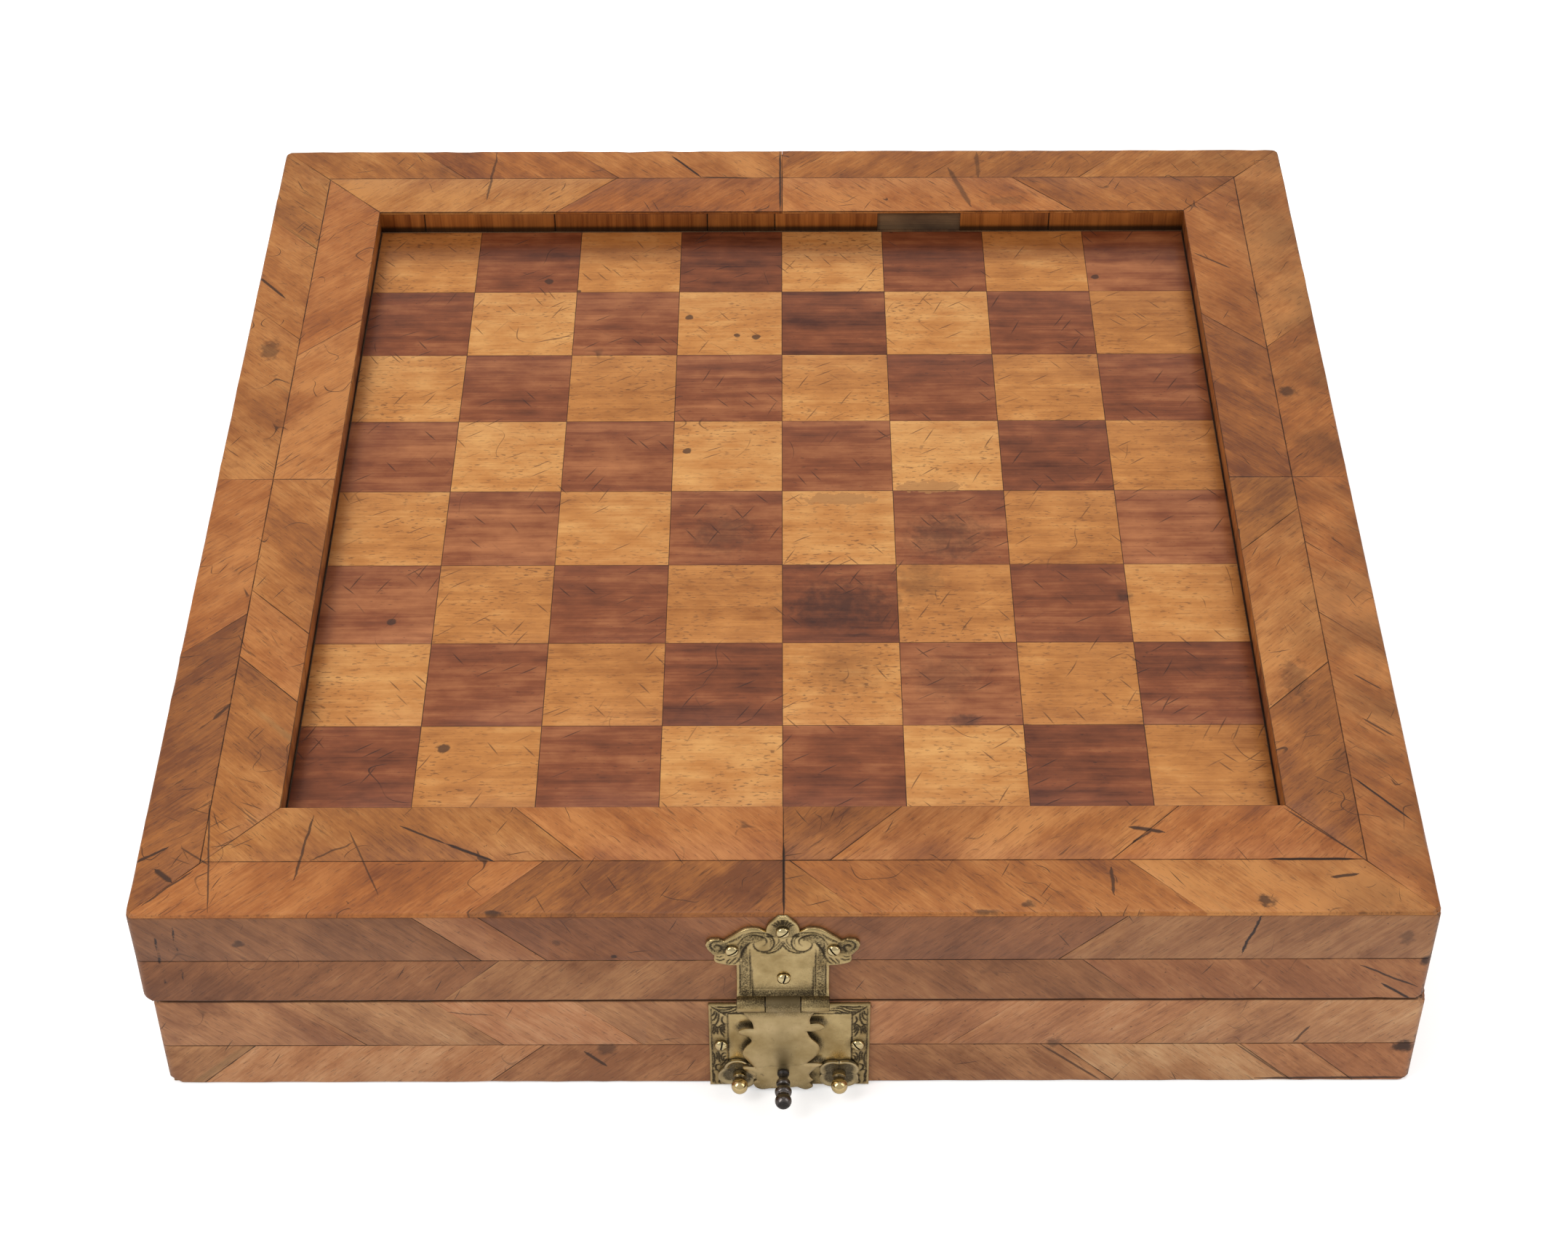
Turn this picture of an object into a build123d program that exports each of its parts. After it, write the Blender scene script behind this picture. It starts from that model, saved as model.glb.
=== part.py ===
"""Chess box with a hinged lid: two shallow trays of board, veneered in feather banding.

A chess field lies sunk in the lid. Both trays are inlaid for backgammon inside, and the
underside carries a mill board, so the box opens flat through half a turn at two butt hinges.
A brass hasp closes it over a lock plate, whose two knobs turn levers onto the hasp's stud.

Millimetres. +Z is up and -Y is the front, with the hasp. The origin is on the floor, below
the middle of the closed box with all its hardware.
"""
import os
from itertools import chain
from math import atan2, cos, degrees, hypot, radians, sin

from build123d import *

# ---------------------------------------------------------------- the chess field and its frame
square = 40.0
rows = 8
field_gap_side = 0.4          # from the squares to the sides of the recess
field_gap_front = 5.1
field_gap_back = 2.1
frame_left = 42.4
frame_right = 42.8
frame_front = 45.8
frame_back = 43.0

# ---------------------------------------------------------------- the two trays
base_narrower = 1.5           # the base is this much narrower than the lid
sideways_shift = 1.75         # and stands this far to the right of it
half_height = 41.2            # each tray, from its outer face to the parting plane
rim_gap = 0.2                 # between the closed rims
wall = 9.0                    # carcass boards
panel = 6.0                   # the broad board of each tray
recess_depth = 8.6            # how far each playing field lies below its frame
veneer = 1.2                  # outer banding and chess squares
edging = 1.0                  # thin strips on the rims and round the recesses
field_veneer = 1.0            # inlaid floors of the trays
joint = 0.1                   # glue line between neighbouring leaves
floor_lift = 0.4              # veneer stops this short of the floor
tail_count = 2                # dovetails at each corner
tail_width = 6.5
tail_flare = 1.2

# ---------------------------------------------------------------- feather banding
outer_side = 20.2             # outer strip of the left and right members
outer_front = 22.5
outer_back = 19.7
underside_frame = 42.0
lid_line = 21.6               # centre line of the side banding, below the lid's outer face
base_line = 19.3              # and above the base's outer face
smallest_leaf = 4.0

# Joints along each strip, measured on its centre line from the seam at mid-length.
# On the frame: outer strip left or front half, outer strip right or back half, inner strip
# likewise. On the sides, each seen from outside: upper strip left and right, then lower.
top_cuts = {
    "front": ((75,), (2, 108), (62.6,), (14.6, 103)),
    "back": ((66, 128), (58, 120), (67,), (93,)),
    "left": ((71,), (82, 140), (59, 92), (72,)),
    "right": ((35, 71.5), (76,), (17, 96), (74.5,)),
}
side_cuts = {
    "lid_front": ((74, 94.5), (86,), (89,), (93.5,)),
    "lid_back": ((52, 121), (83, 150), (97,), (61, 139)),
    "lid_left": ((66, 131), (94,), (48, 112), (77, 146)),
    "lid_right": ((88,), (57, 126), (71, 142), (103,)),
    "base_front": ((47, 92, 136), (51.5, 111.5, 178), (79, 172), (87, 145, 165)),
    "base_back": ((71, 149), (96,), (58, 118), (81, 158)),
    "base_left": ((92,), (63, 137), (75, 151), (54, 108)),
    "base_right": ((49, 116), (84, 147), (98,), (69, 133)),
}

# ---------------------------------------------------------------- inlaid boards and linings
point_height = 158.0          # backgammon points
points_per_side = 6
point_gap = 3.0               # ground between two points at the wall
mill_line = 3.0
mill_outer = 264.0
mill_step = 86.0              # from one ring's width to the next
mill_ring_count = 3
lining_gap = 0.3
lining_back = (-143.0, -91.0, -30.0, -3.0, 38.3, 71.0, 106.6)
lost_strip = 6                # counted from the left, this strip has fallen out at the back
lining_front = (-112.0, -48.0, 17.0, 84.0)
lining_side = (-96.0, -22.0, 51.0, 118.0)

# ---------------------------------------------------------------- back hinges
hinge_inset = 70.25           # from the base's side to the middle of a hinge
hinge_length = 44.0
hinge_leaf = 1.2
hinge_leaf_width = 8.0        # let in over the back wall's rim
hinge_barrel_r = 2.3
hinge_pin_r = 0.9
hinge_clear = 0.15            # barrel to the back face
knuckle_gap = 0.2
barrel_room = 0.5             # hollow in the hasp's plate round the middle knuckle
pin_clearance = 0.05          # radial, in the knuckles that turn
hinge_screw_spacing = 26.0
hinge_screws_per_leaf = 2
hinge_screw_r = 1.0
hinge_screw_head_r = 1.9
hinge_screw_length = 7.0

# ---------------------------------------------------------------- hasp
hasp_offset = -0.25           # from the lid's centre
plate = 1.6
shank_half = 14.7
hasp_barrel_r = 2.7
hasp_barrel_out = 2.9         # barrel axis in front of the face
hasp_barrel_z = 43.2
hasp_pin_r = 1.0
flap_knuckle_half = 5.5
flap = 1.1
flap_back = 2.95              # back of the flap in front of the face
flap_top = 39.6               # just below the fixed knuckles
screw_head_r = 2.15
screw_head = 1.4
screw_head_side = 0.5          # upright rim of the head, below its crown
screw_crown_r = 1.2
screw_shank_r = 1.2
screw_length = 8.0            # under the head
screw_slot = 0.5
hasp_screws = ((0.0, 75.9, 35), (-15.85, 67.3, 32), (15.85, 67.5, -52), (0.25, 54.1, 74))

# Right half of the fixed plate's outline above the shank, from the shell at the top over the
# scroll and the rolled ear to the leaf below it. Each stretch runs between two sharp corners.
plate_outline = (
    ((0.0, 82.0), (1.7, 81.75), (4.6, 78.3), (5.3, 75.2)),
    ((5.3, 75.2), (8.0, 76.8), (12.0, 76.3), (16.4, 72.7), (18.5, 70.8)),
    ((18.5, 70.8), (20.6, 71.8), (23.5, 70.7), (23.8, 67.6), (21.5, 64.4)),
    ((21.5, 64.4), (21.2, 61.3), (17.4, 59.85), (14.7, 59.7)),
)
# The flap was cut by hand and its two sides differ: neck, lobe, waist, ear, foot.
flap_right = (
    ((10.0, 39.6), (8.9, 37.4), (8.45, 35.5), (8.7, 33.8)),
    ((8.7, 33.8), (11.2, 34.0), (13.1, 32.2), (11.3, 30.3), (7.5, 30.2)),
    ((7.5, 30.2), (8.7, 26.8), (11.3, 23.2), (11.5, 19.7), (9.5, 16.4), (7.5, 14.2)),
    ((7.5, 14.2), (10.8, 14.0), (12.6, 13.3)),
    ((12.6, 13.3), (10.5, 11.5), (8.4, 8.2), (9.7, 5.6)),
    ((9.7, 5.6), (8.4, 4.0)),
    ((8.4, 4.0), (9.6, 2.2), (7.3, 0.5), (4.5, 2.0)),
    ((4.5, 2.0), (0.0, 1.3), (-4.5, 1.2)),
)
flap_left = (
    ((-12.75, 39.6), (-11.1, 36.7), (-9.8, 34.4), (-9.35, 31.4)),
    ((-9.35, 31.4), (-11.8, 31.4), (-14.3, 30.2), (-13.0, 28.4), (-11.0, 27.5)),
    ((-11.0, 27.5), (-10.1, 25.0), (-12.1, 21.9), (-13.0, 19.0), (-11.6, 15.7), (-9.3, 12.2)),
    ((-9.3, 12.2), (-11.3, 12.4), (-13.0, 12.0)),
    ((-13.0, 12.0), (-12.5, 10.6), (-9.5, 7.5), (-8.5, 5.5)),
    ((-8.5, 5.5), (-9.7, 4.3), (-9.0, 2.0), (-7.0, 0.6), (-4.5, 1.2)),
)

# ---------------------------------------------------------------- pull, knobs and lock plate
pull_z = 10.0
stud_neck_r = 1.5
stud_head_r = 3.0
stud_head = 1.6
pull_flange_r = 1.95
pull_flange = 0.95
# The turned swellings of the pull, as radius and distance in front of the flap.
pull_waist = (1.5, 2.85)
pull_vase = (2.3, 4.25)
pull_neck = (1.9, 5.85)
pull_bulb = (2.75, 7.85)
pull_throat = (2.1, 9.25)
pull_ball_r = 2.7
pull_length = 14.2            # what stands out in front of the flap
lock_plate_low = 0.2
lock_plate_gap = 0.7          # below the rim
lock_screw_out = 5.8          # from a knob to the screw beside it
lock_plate_margin = 3.9       # from a screw to the end of the plate
plate_bevel = 0.5
knob_half_spacing = 16.1
knob_z = 7.2
knob_neck_r = 2.2
knob_neck_out = 4.3
knob_groove_r = 1.8
knob_ball_r = 2.7
knob_ball_out = 7.2           # centre of the ball in front of the face
spindle_r = 1.5
rosette = 1.0
rosette_floor = 0.4
rosette_rim = 0.9
petal_r = 4.2
petal_offset = 2.1
left_rosette_turn = -29.0
lever = 1.2
lever_boss_r = 3.0
lever_half_width = 1.5
lever_level = 0.4             # the first lever lies this far behind the face
lever_spacing = 1.5           # from one lever's level to the next
lever_notch_clear = 0.3       # round the stud's neck
lever_prong = 1.0
knob_turn = 82.0              # degrees from unlocked to locked
small_clear = 0.05            # between faces that slide
part_clear = 0.3
lock_screw_z = 21.3
lock_screw_turns = (80, -50)

# ---------------------------------------------------------------- places that follow from them
field = rows * square
lid_width = frame_left + field + 2 * field_gap_side + frame_right
base_width = lid_width - base_narrower
box_depth = frame_front + field_gap_front + field + field_gap_back + frame_back
mill_rings = [mill_outer - number * mill_step for number in range(mill_ring_count)]
flap_front = flap_back + flap
hinge_reach = hinge_clear + 2 * hinge_barrel_r
pull_reach = flap_front + pull_length
front = (pull_reach - hinge_reach - box_depth) / 2
back = front + box_depth
middle = (front + back) / 2
lid_x = ((lid_width - base_width) / 2 - sideways_shift) / 2
base_x = lid_x + sideways_shift
shell = veneer + wall
rim = half_height - rim_gap / 2
panel_start = recess_depth + veneer
wall_start = panel_start + panel
hinge_y = back + hinge_clear + hinge_barrel_r
hinge_x = {"left": base_x - base_width / 2 + hinge_inset,
           "right": base_x + base_width / 2 - hinge_inset}
hasp_x = lid_x + hasp_offset
hasp_barrel_y = front - hasp_barrel_out
head_depth = lever_level + lever_spacing + lever + part_clear
mortise_depth = head_depth + stud_head + part_clear
lock_plate_high = rim - lock_plate_gap
lock_screw_half = knob_half_spacing + lock_screw_out
lock_screws = [(side * lock_screw_half, lock_screw_z, turn)
               for side, turn in zip((-1, 1), lock_screw_turns)]
lock_plate_width = 2 * (lock_screw_half + lock_plate_margin)
opening = (lid_x - lid_width / 2 + frame_left, lid_x + lid_width / 2 - frame_right,
           front + frame_front, back - frame_back)

# Each tray: its centre, its width, and the height of a place at a depth below its outer face.
trays = {
    "base": (base_x, base_width, lambda depth: depth),
    "lid": (lid_x, lid_width, lambda depth: 2 * half_height - depth),
}
# The way out of each tray's rim.
rim_normal = {"base": (0, 0, 1), "lid": (0, 0, -1)}

os.makedirs("parts", exist_ok=True)


def save(piece, name):
    """Label a finished piece and write its STEP file."""
    piece.part.label = name
    export_step(piece.part, f"parts/{name}.step")


def board(xs, ys, zs, mode=Mode.ADD):
    """A straight board between a pair of places along each axis."""
    spans = (xs, ys, zs)
    with Locations(tuple((low + high) / 2 for low, high in spans)):
        Box(*(abs(high - low) for low, high in spans), mode=mode)


def polygon(points, mode=Mode.ADD):
    """A closed polygon in the sketch at hand."""
    Polygon(*points, align=None, mode=mode)


def drill(point, direction, radius, depth):
    """A round hole from a point, along a direction."""
    with BuildSketch(Plane(origin=point, z_dir=direction)) as hole:
        Circle(radius)
    extrude(hole.sketch, amount=depth, mode=Mode.SUBTRACT)


def front_plane(x, out=0.0, z=0.0, turn=0.0):
    """Plane before the front face: local x to the right, local y up, both turned by an angle."""
    along = (cos(radians(turn)), 0, sin(radians(turn)))
    return Plane(origin=(x, front - out, z), x_dir=along, z_dir=(0, -1, 0))


def turning_plane(point, direction):
    """Plane for a turned profile: local x is the radius, local y runs along the direction."""
    return Plane(origin=point, x_dir=(1, 0, 0), z_dir=Vector(1, 0, 0).cross(Vector(*direction)))


# ================================================================ carcass
def outer_rectangle(x, width, inset=0.0):
    """(left, right, front, back) of a tray, drawn in by an inset."""
    return (x - width / 2 + inset, x + width / 2 - inset, front + inset, back - inset)


def tails(x_out, inward, y_end, away, zs, mode):
    """Dovetails on a side board: they flare towards its end and reach through the other board."""
    pitch = (zs[1] - zs[0]) / tail_count
    root, tip = (tail_width - tail_flare) / 2, (tail_width + tail_flare) / 2
    shoulder = y_end + away * wall
    with BuildSketch(Plane(origin=(x_out, 0, 0), x_dir=(0, 1, 0), z_dir=(1, 0, 0))) as profile:
        for number in range(tail_count):
            z = zs[0] + (number + 0.5) * pitch
            polygon(((shoulder, z - root), (y_end, z - tip), (y_end, z + tip), (shoulder, z + root)))
    extrude(profile.sketch, amount=inward * wall, mode=mode)


def leaf_pockets(z):
    """Sunk places for the hinge leaves, in the back rim of a tray."""
    for x in hinge_x.values():
        board((x - hinge_length / 2 - small_clear, x + hinge_length / 2 + small_clear),
              (back - hinge_leaf_width, back + veneer),
              (z(rim - hinge_leaf), z(rim + hinge_leaf)), Mode.SUBTRACT)


def hinge_screw_places():
    """Places of the leaf screws over both hinges, seen from above."""
    centre = (hinge_screws_per_leaf - 1) / 2
    return {name: [(x + (number - centre) * hinge_screw_spacing, back - hinge_leaf_width / 2)
                   for number in range(hinge_screws_per_leaf)]
            for name, x in hinge_x.items()}


def lever_reach(knob_x):
    """Distance and direction, in degrees, from a knob's axis to the stud."""
    across, up = hasp_x - knob_x, pull_z - knob_z
    return hypot(across, up), degrees(atan2(up, across))


def lock_mortise():
    """The hollow behind the lock plate, which holds both levers at rest and in use."""
    hook = stud_neck_r + lever_notch_clear + lever_prong
    lows, highs, tops = [], [], []
    for side in (-1, 1):
        knob_x = base_x + side * knob_half_spacing
        reach, locked = lever_reach(knob_x)
        hook_x = knob_x + reach * cos(radians(locked - side * knob_turn))
        lows.append(min(knob_x - lever_boss_r, hook_x - hook))
        highs.append(max(knob_x + lever_boss_r, hook_x + hook))
        tops.append(knob_z + reach + hook)
    board((min(lows) - part_clear, max(highs) + part_clear), (front, front + mortise_depth),
          (knob_z - lever_boss_r - part_clear, max(tops) + part_clear), Mode.SUBTRACT)


def front_holes(tray):
    """Cuts for the lock and the screws, in all that lies behind the front plates."""
    if tray == "base":
        lock_mortise()
    places = lock_screws if tray == "base" else hasp_screws
    centre = base_x if tray == "base" else hasp_x
    for x, z, _ in places:
        drill((centre + x, front, z), (0, 1, 0), screw_shank_r, screw_length - plate)


def make_walls(tray, x, width, z):
    """Four boards, dovetailed at the corners: tails on the sides, pins on front and back."""
    left, right, low_y, high_y = outer_rectangle(x, width, veneer)
    zs = sorted((z(wall_start), z(rim - edging)))
    ends = {"front": (low_y, 1), "back": (high_y, -1)}
    sides = {"left": (left, 1), "right": (right, -1)}
    for name, (y, away) in ends.items():
        with BuildPart() as end_wall:
            board((left, right), (y, y + away * wall), zs)
            for x_out, inward in sides.values():
                tails(x_out, inward, y, away, zs, Mode.SUBTRACT)
            if name == "front":
                front_holes(tray)
            else:
                leaf_pockets(z)
                for sx, sy in chain(*hinge_screw_places().values()):
                    drill((sx, sy, z(rim)), rim_normal[tray], hinge_screw_r, -hinge_screw_length)
        save(end_wall, f"{tray}_{name}_wall")
    for name, (x_out, inward) in sides.items():
        with BuildPart() as side_wall:
            board((x_out, x_out + inward * wall), (front + shell, back - shell), zs)
            for y, away in ends.values():
                tails(x_out, inward, y, away, zs, Mode.ADD)
        save(side_wall, f"{tray}_{name}_wall")


def make_panel(tray, x, width, z):
    """The broad board that closes a tray."""
    left, right, low_y, high_y = outer_rectangle(x, width, veneer)
    with BuildPart() as piece:
        board((left, right), (low_y, high_y), (z(panel_start), z(wall_start)))
        front_holes(tray)
    save(piece, f"{tray}_panel")


def mitred_ring(outer, inner, low, high):
    """Four boards between two rectangles (left, right, front, back), with mitred ends."""
    rings = [((r[0], r[2]), (r[1], r[2]), (r[1], r[3]), (r[0], r[3])) for r in (outer, inner)]
    with BuildSketch(Plane.XY.offset(low)) as ring:
        for start in range(4):
            end = (start + 1) % 4
            along = Vector(*rings[0][end]) - Vector(*rings[0][start])
            ease = along.normalized() * joint / 2
            corners = ((rings[0][start], ease), (rings[0][end], -ease),
                       (rings[1][end], -ease), (rings[1][start], ease))
            polygon([(x + shift.X, y + shift.Y) for (x, y), shift in corners])
    extrude(ring.sketch, amount=high - low)


def make_rim_edging(tray, x, width, z):
    """Thin strips on the rim, mitred at the corners."""
    low, high = sorted((z(rim - edging), z(rim)))
    with BuildPart() as piece:
        mitred_ring(outer_rectangle(x, width, veneer), outer_rectangle(x, width, shell), low, high)
        leaf_pockets(z)
    save(piece, f"{tray}_rim_edging")


# ================================================================ feather banding
def strip_leaves(cuts, near_end, far_end, width):
    """Leaves of one half of a strip, as quadrilaterals of (along, across).

    Along is measured from the seam, across from the centre line. Each joint leans away from
    the seam at 45 degrees as it leaves the centre line, so that two strips make feathers.
    """
    kept = [cut for cut in cuts
            if cut < near_end - smallest_leaf and cut + width < far_end - smallest_leaf]
    edges = [(0.0, 0.0)] + [(cut, cut + width) for cut in kept] + [(near_end, far_end)]
    gap = joint / 2
    return [((near_a + gap, gap), (near_b - gap, gap), (far_b - gap, width), (far_a + gap, width))
            for (near_a, far_a), (near_b, far_b) in zip(edges, edges[1:])]


def lay_banding(plane, strips):
    """Veneer strips on a plane whose origin is where the seam crosses the centre line.

    Each strip is (up or down, width, (near end, far end) of both halves, cuts of both halves).
    """
    with BuildSketch(plane) as band:
        for up, width, ends, cuts in strips:
            for side, (near_end, far_end), joints in zip((-1, 1), ends, cuts):
                for leaf in strip_leaves(joints, near_end, far_end, width):
                    polygon([(side * along, up * across) for along, across in leaf])
    extrude(band.sketch, amount=veneer)


def make_side_banding(tray, x, width, z, line):
    """Banding on the four outer sides of a tray. The front and back lap over the side ones."""
    outer = floor_lift if tray == "base" else veneer
    towards_face, towards_rim = line - outer, rim - line
    upper, lower = (towards_rim, towards_face) if tray == "base" else (towards_face, towards_rim)
    left, right, low_y, high_y = outer_rectangle(x, width, veneer)
    faces = {
        "front": ((x, low_y), (1, 0, 0), (0, -1, 0), width / 2),
        "back": ((x, high_y), (-1, 0, 0), (0, 1, 0), width / 2),
        "left": ((left, middle), (0, -1, 0), (-1, 0, 0), box_depth / 2 - veneer),
        "right": ((right, middle), (0, 1, 0), (1, 0, 0), box_depth / 2 - veneer),
    }
    for name, (place, along, normal, reach) in faces.items():
        cuts = side_cuts[f"{tray}_{name}"]
        ends = ((reach, reach), (reach, reach))
        with BuildPart() as piece:
            lay_banding(Plane(origin=(*place, z(line)), x_dir=along, z_dir=normal),
                        ((1, upper, ends, cuts[:2]), (-1, lower, ends, cuts[2:])))
            if name == "front":
                front_holes(tray)
            if name == "back":
                leaf_pockets(z)
        save(piece, f"{tray}_{name}_banding")


def make_top_banding():
    """Mitred banding on the lid's frame, each member with a seam at mid-length."""
    left, right, low_y, high_y = outer_rectangle(lid_x, lid_width)
    across = ((left, frame_left, lid_x), (right, frame_right, lid_x))
    along = ((low_y, frame_front, middle), (high_y, frame_back, middle))
    members = {
        "front": ((lid_x, low_y + outer_front), (1, 0, 0), -1, outer_front, frame_front, across),
        "back": ((lid_x, high_y - outer_back), (1, 0, 0), 1, outer_back, frame_back, across),
        "left": ((left + outer_side, middle), (0, 1, 0), 1, outer_side, frame_left, along),
        "right": ((right - outer_side, middle), (0, 1, 0), -1, outer_side, frame_right, along),
    }
    for name, (place, direction, outwards, outer, member, corners) in members.items():
        share = outer / member
        edges = [[abs(edge - seam) - part * neighbour for part in (0, share, 1)]
                 for edge, neighbour, seam in corners]
        outer_ends = [(centre, far) for far, centre, _ in edges]
        inner_ends = [(centre, far) for _, centre, far in edges]
        cuts = top_cuts[name]
        with BuildPart() as piece:
            lay_banding(Plane(origin=(*place, 2 * half_height - veneer), x_dir=direction),
                        ((outwards, outer, outer_ends, cuts[:2]),
                         (-outwards, member - outer, inner_ends, cuts[2:])))
        save(piece, f"top_{name}_banding")


# ================================================================ frames and playing fields
def mill_rectangle(grow=0.0):
    """The recess in the underside, grown outwards by a margin."""
    return outer_rectangle(base_x, base_width, underside_frame - grow)


def make_frames():
    """The raised frames: the lid's carries banding, the one below is left bare to stand on."""
    top = 2 * half_height
    hole = (opening[0] - edging, opening[1] + edging, opening[2] - edging, opening[3] + edging)
    with BuildPart() as frame:
        mitred_ring(outer_rectangle(lid_x, lid_width, veneer), hole,
                    top - panel_start, top - veneer)
        front_holes("lid")
    save(frame, "lid_frame")
    with BuildPart() as frame:
        mitred_ring(outer_rectangle(base_x, base_width, veneer), mill_rectangle(edging),
                    0, panel_start)
        front_holes("base")
    save(frame, "underside_frame")


def lining_strips(span, joints):
    """Stretches of lining along a wall, parted at the joints that fall on it."""
    stops = [span[0]] + [stop for stop in joints if span[0] < stop < span[1]] + [span[1]]
    return [(a + lining_gap / 2, b - lining_gap / 2) for a, b in zip(stops, stops[1:])]


def make_recess_edging():
    """Short cross-grained strips that line the walls of the two recesses."""
    zs = (2 * half_height - panel_start, 2 * half_height - veneer)
    span = (opening[0] - edging, opening[1] + edging)
    with BuildPart() as piece:
        back_strips = lining_strips(span, [lid_x + x for x in lining_back])
        for number, strip in enumerate(back_strips, start=1):
            if number != lost_strip:
                board(strip, (opening[3], opening[3] + edging), zs)
        for strip in lining_strips(span, [lid_x + x for x in lining_front]):
            board(strip, (opening[2] - edging, opening[2]), zs)
        for strip in lining_strips(opening[2:], [middle + y for y in lining_side]):
            board((opening[0] - edging, opening[0]), strip, zs)
            board((opening[1], opening[1] + edging), strip, zs)
    save(piece, "recess_edging")
    with BuildPart() as piece:
        mitred_ring(mill_rectangle(edging), mill_rectangle(), floor_lift, panel_start)
    save(piece, "underside_edging")


def make_squares():
    """Chess squares, with a light one at the front right corner."""
    centre = ((opening[0] + opening[1]) / 2, opening[3] - field_gap_back - field / 2,
              2 * half_height - panel_start)
    half = (rows - 1) / 2
    for name, parity in (("light_squares", 1), ("dark_squares", 0)):
        places = [((column - half) * square, (row - half) * square)
                  for column in range(rows) for row in range(rows) if (column + row) % 2 == parity]
        with BuildPart() as squares:
            with BuildSketch(Plane(origin=centre)):
                with Locations(*places):
                    Rectangle(square - joint, square - joint)
            extrude(amount=veneer)
        save(squares, name)


def point_triangles(x, width, shade, grow=0.0):
    """Backgammon points of one shade on both side walls of a tray, grown by a margin.

    Neighbouring points differ in shade, and so do the two that face each other.
    """
    pitch = (box_depth - 2 * shell) / points_per_side
    half = (pitch - point_gap) / 2 + grow
    length = point_height * half / (half - grow)
    triangles = []
    for number in range(points_per_side):
        inward = 1 if number % 2 == shade else -1
        foot = x - inward * (width / 2 - shell - joint)
        y = front + shell + (number + 0.5) * pitch
        triangles.append(((foot, y - half), (foot + inward * length, y), (foot, y + half)))
    return triangles


def make_tray_floor(tray, x, width, z):
    """Inlaid floor of a tray: a ground with twelve points let into it."""
    low = min(z(wall_start), z(wall_start + field_veneer))
    with BuildPart() as ground:
        with BuildSketch(Plane(origin=(x, middle, low))):
            Rectangle(width - 2 * (shell + joint), box_depth - 2 * (shell + joint))
        extrude(amount=field_veneer)
        with BuildSketch(Plane.XY.offset(low)):
            for shade in (0, 1):
                for triangle in point_triangles(x, width, shade, joint):
                    polygon(triangle)
        extrude(amount=field_veneer, mode=Mode.SUBTRACT)
    save(ground, f"{tray}_field")
    for number, shade in enumerate(("light", "dark")):
        with BuildPart() as points:
            with BuildSketch(Plane.XY.offset(low)):
                for triangle in point_triangles(x, width, number):
                    polygon(triangle)
            extrude(amount=field_veneer)
        save(points, f"{tray}_{shade}_points")


def mill_strokes(spare, mode):
    """Three nested squares and the four lines across them, drawn wider by a margin."""
    stroke = mill_line + 2 * spare
    for ring in mill_rings:
        with Locations((0, ring / 2), (0, -ring / 2)):
            Rectangle(ring + stroke, stroke, mode=mode)
        with Locations((ring / 2, 0), (-ring / 2, 0)):
            Rectangle(stroke, ring + stroke, mode=mode)
    reach = (mill_rings[0] - mill_rings[-1]) / 2
    centre = (mill_rings[0] + mill_rings[-1]) / 4
    with Locations((centre, 0), (-centre, 0)):
        Rectangle(reach, stroke, mode=mode)
    with Locations((0, centre), (0, -centre)):
        Rectangle(stroke, reach, mode=mode)


def make_mill_board():
    """The mill board on the underside: dark lines let into a ground."""
    inner = mill_rectangle(-joint)
    plane = Plane(origin=(base_x, middle, recess_depth))
    with BuildPart() as lines:
        with BuildSketch(plane):
            mill_strokes(0, Mode.ADD)
        extrude(amount=veneer)
    save(lines, "mill_lines")
    with BuildPart() as ground:
        with BuildSketch(plane):
            Rectangle(inner[1] - inner[0], inner[3] - inner[2])
            mill_strokes(joint, Mode.SUBTRACT)
        extrude(amount=veneer)
    save(ground, "mill_field")


# ================================================================ screws and hinges
def raised_screw(x, z, turn, out):
    """Slotted screw with a raised head that sits at a distance in front of the face."""
    place, axis = (x, front - out, z), (0, -1, 0)
    with BuildSketch(turning_plane(place, axis)) as profile:
        polygon(((0, screw_head), (screw_crown_r, screw_head), (screw_head_r, screw_head_side),
                 (screw_head_r, 0), (screw_shank_r, 0), (screw_shank_r, -screw_length),
                 (0, -screw_length)))
    revolve(profile.sketch, axis=Axis(place, axis))
    with BuildSketch(front_plane(x, out + screw_head, z, turn)) as slot:
        Rectangle(3 * screw_head_r, screw_slot)
    extrude(slot.sketch, amount=-screw_head / 2, mode=Mode.SUBTRACT)


def make_front_screws():
    for name, screws, centre in (("hasp_plate_screws", hasp_screws, hasp_x),
                                 ("lock_plate_screws", lock_screws, base_x)):
        with BuildPart() as piece:
            for x, z, turn in screws:
                raised_screw(centre + x, z, turn, plate)
        save(piece, name)


def sink_profile(point, direction, mode):
    """Turned body of a countersunk screw, or the hole it fills in a leaf."""
    sink = hinge_screw_head_r - hinge_screw_r
    with BuildSketch(turning_plane(point, direction)) as profile:
        polygon(((0, 0), (hinge_screw_head_r, 0), (hinge_screw_r, -sink),
                 (hinge_screw_r, -hinge_screw_length), (0, -hinge_screw_length)))
    revolve(profile.sketch, axis=Axis(point, direction), mode=mode)


def make_hinge_screws(tray, z):
    """Countersunk screws through the leaves into the back board."""
    with BuildPart() as piece:
        for x, y in chain(*hinge_screw_places().values()):
            sink_profile((x, y, z(rim)), rim_normal[tray], Mode.ADD)
            with BuildSketch(Plane(origin=(x, y, z(rim)), z_dir=rim_normal[tray])):
                Rectangle(3 * hinge_screw_head_r, screw_slot)
            extrude(amount=-screw_slot, mode=Mode.SUBTRACT)
    save(piece, f"{tray}_hinge_screws")


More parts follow.
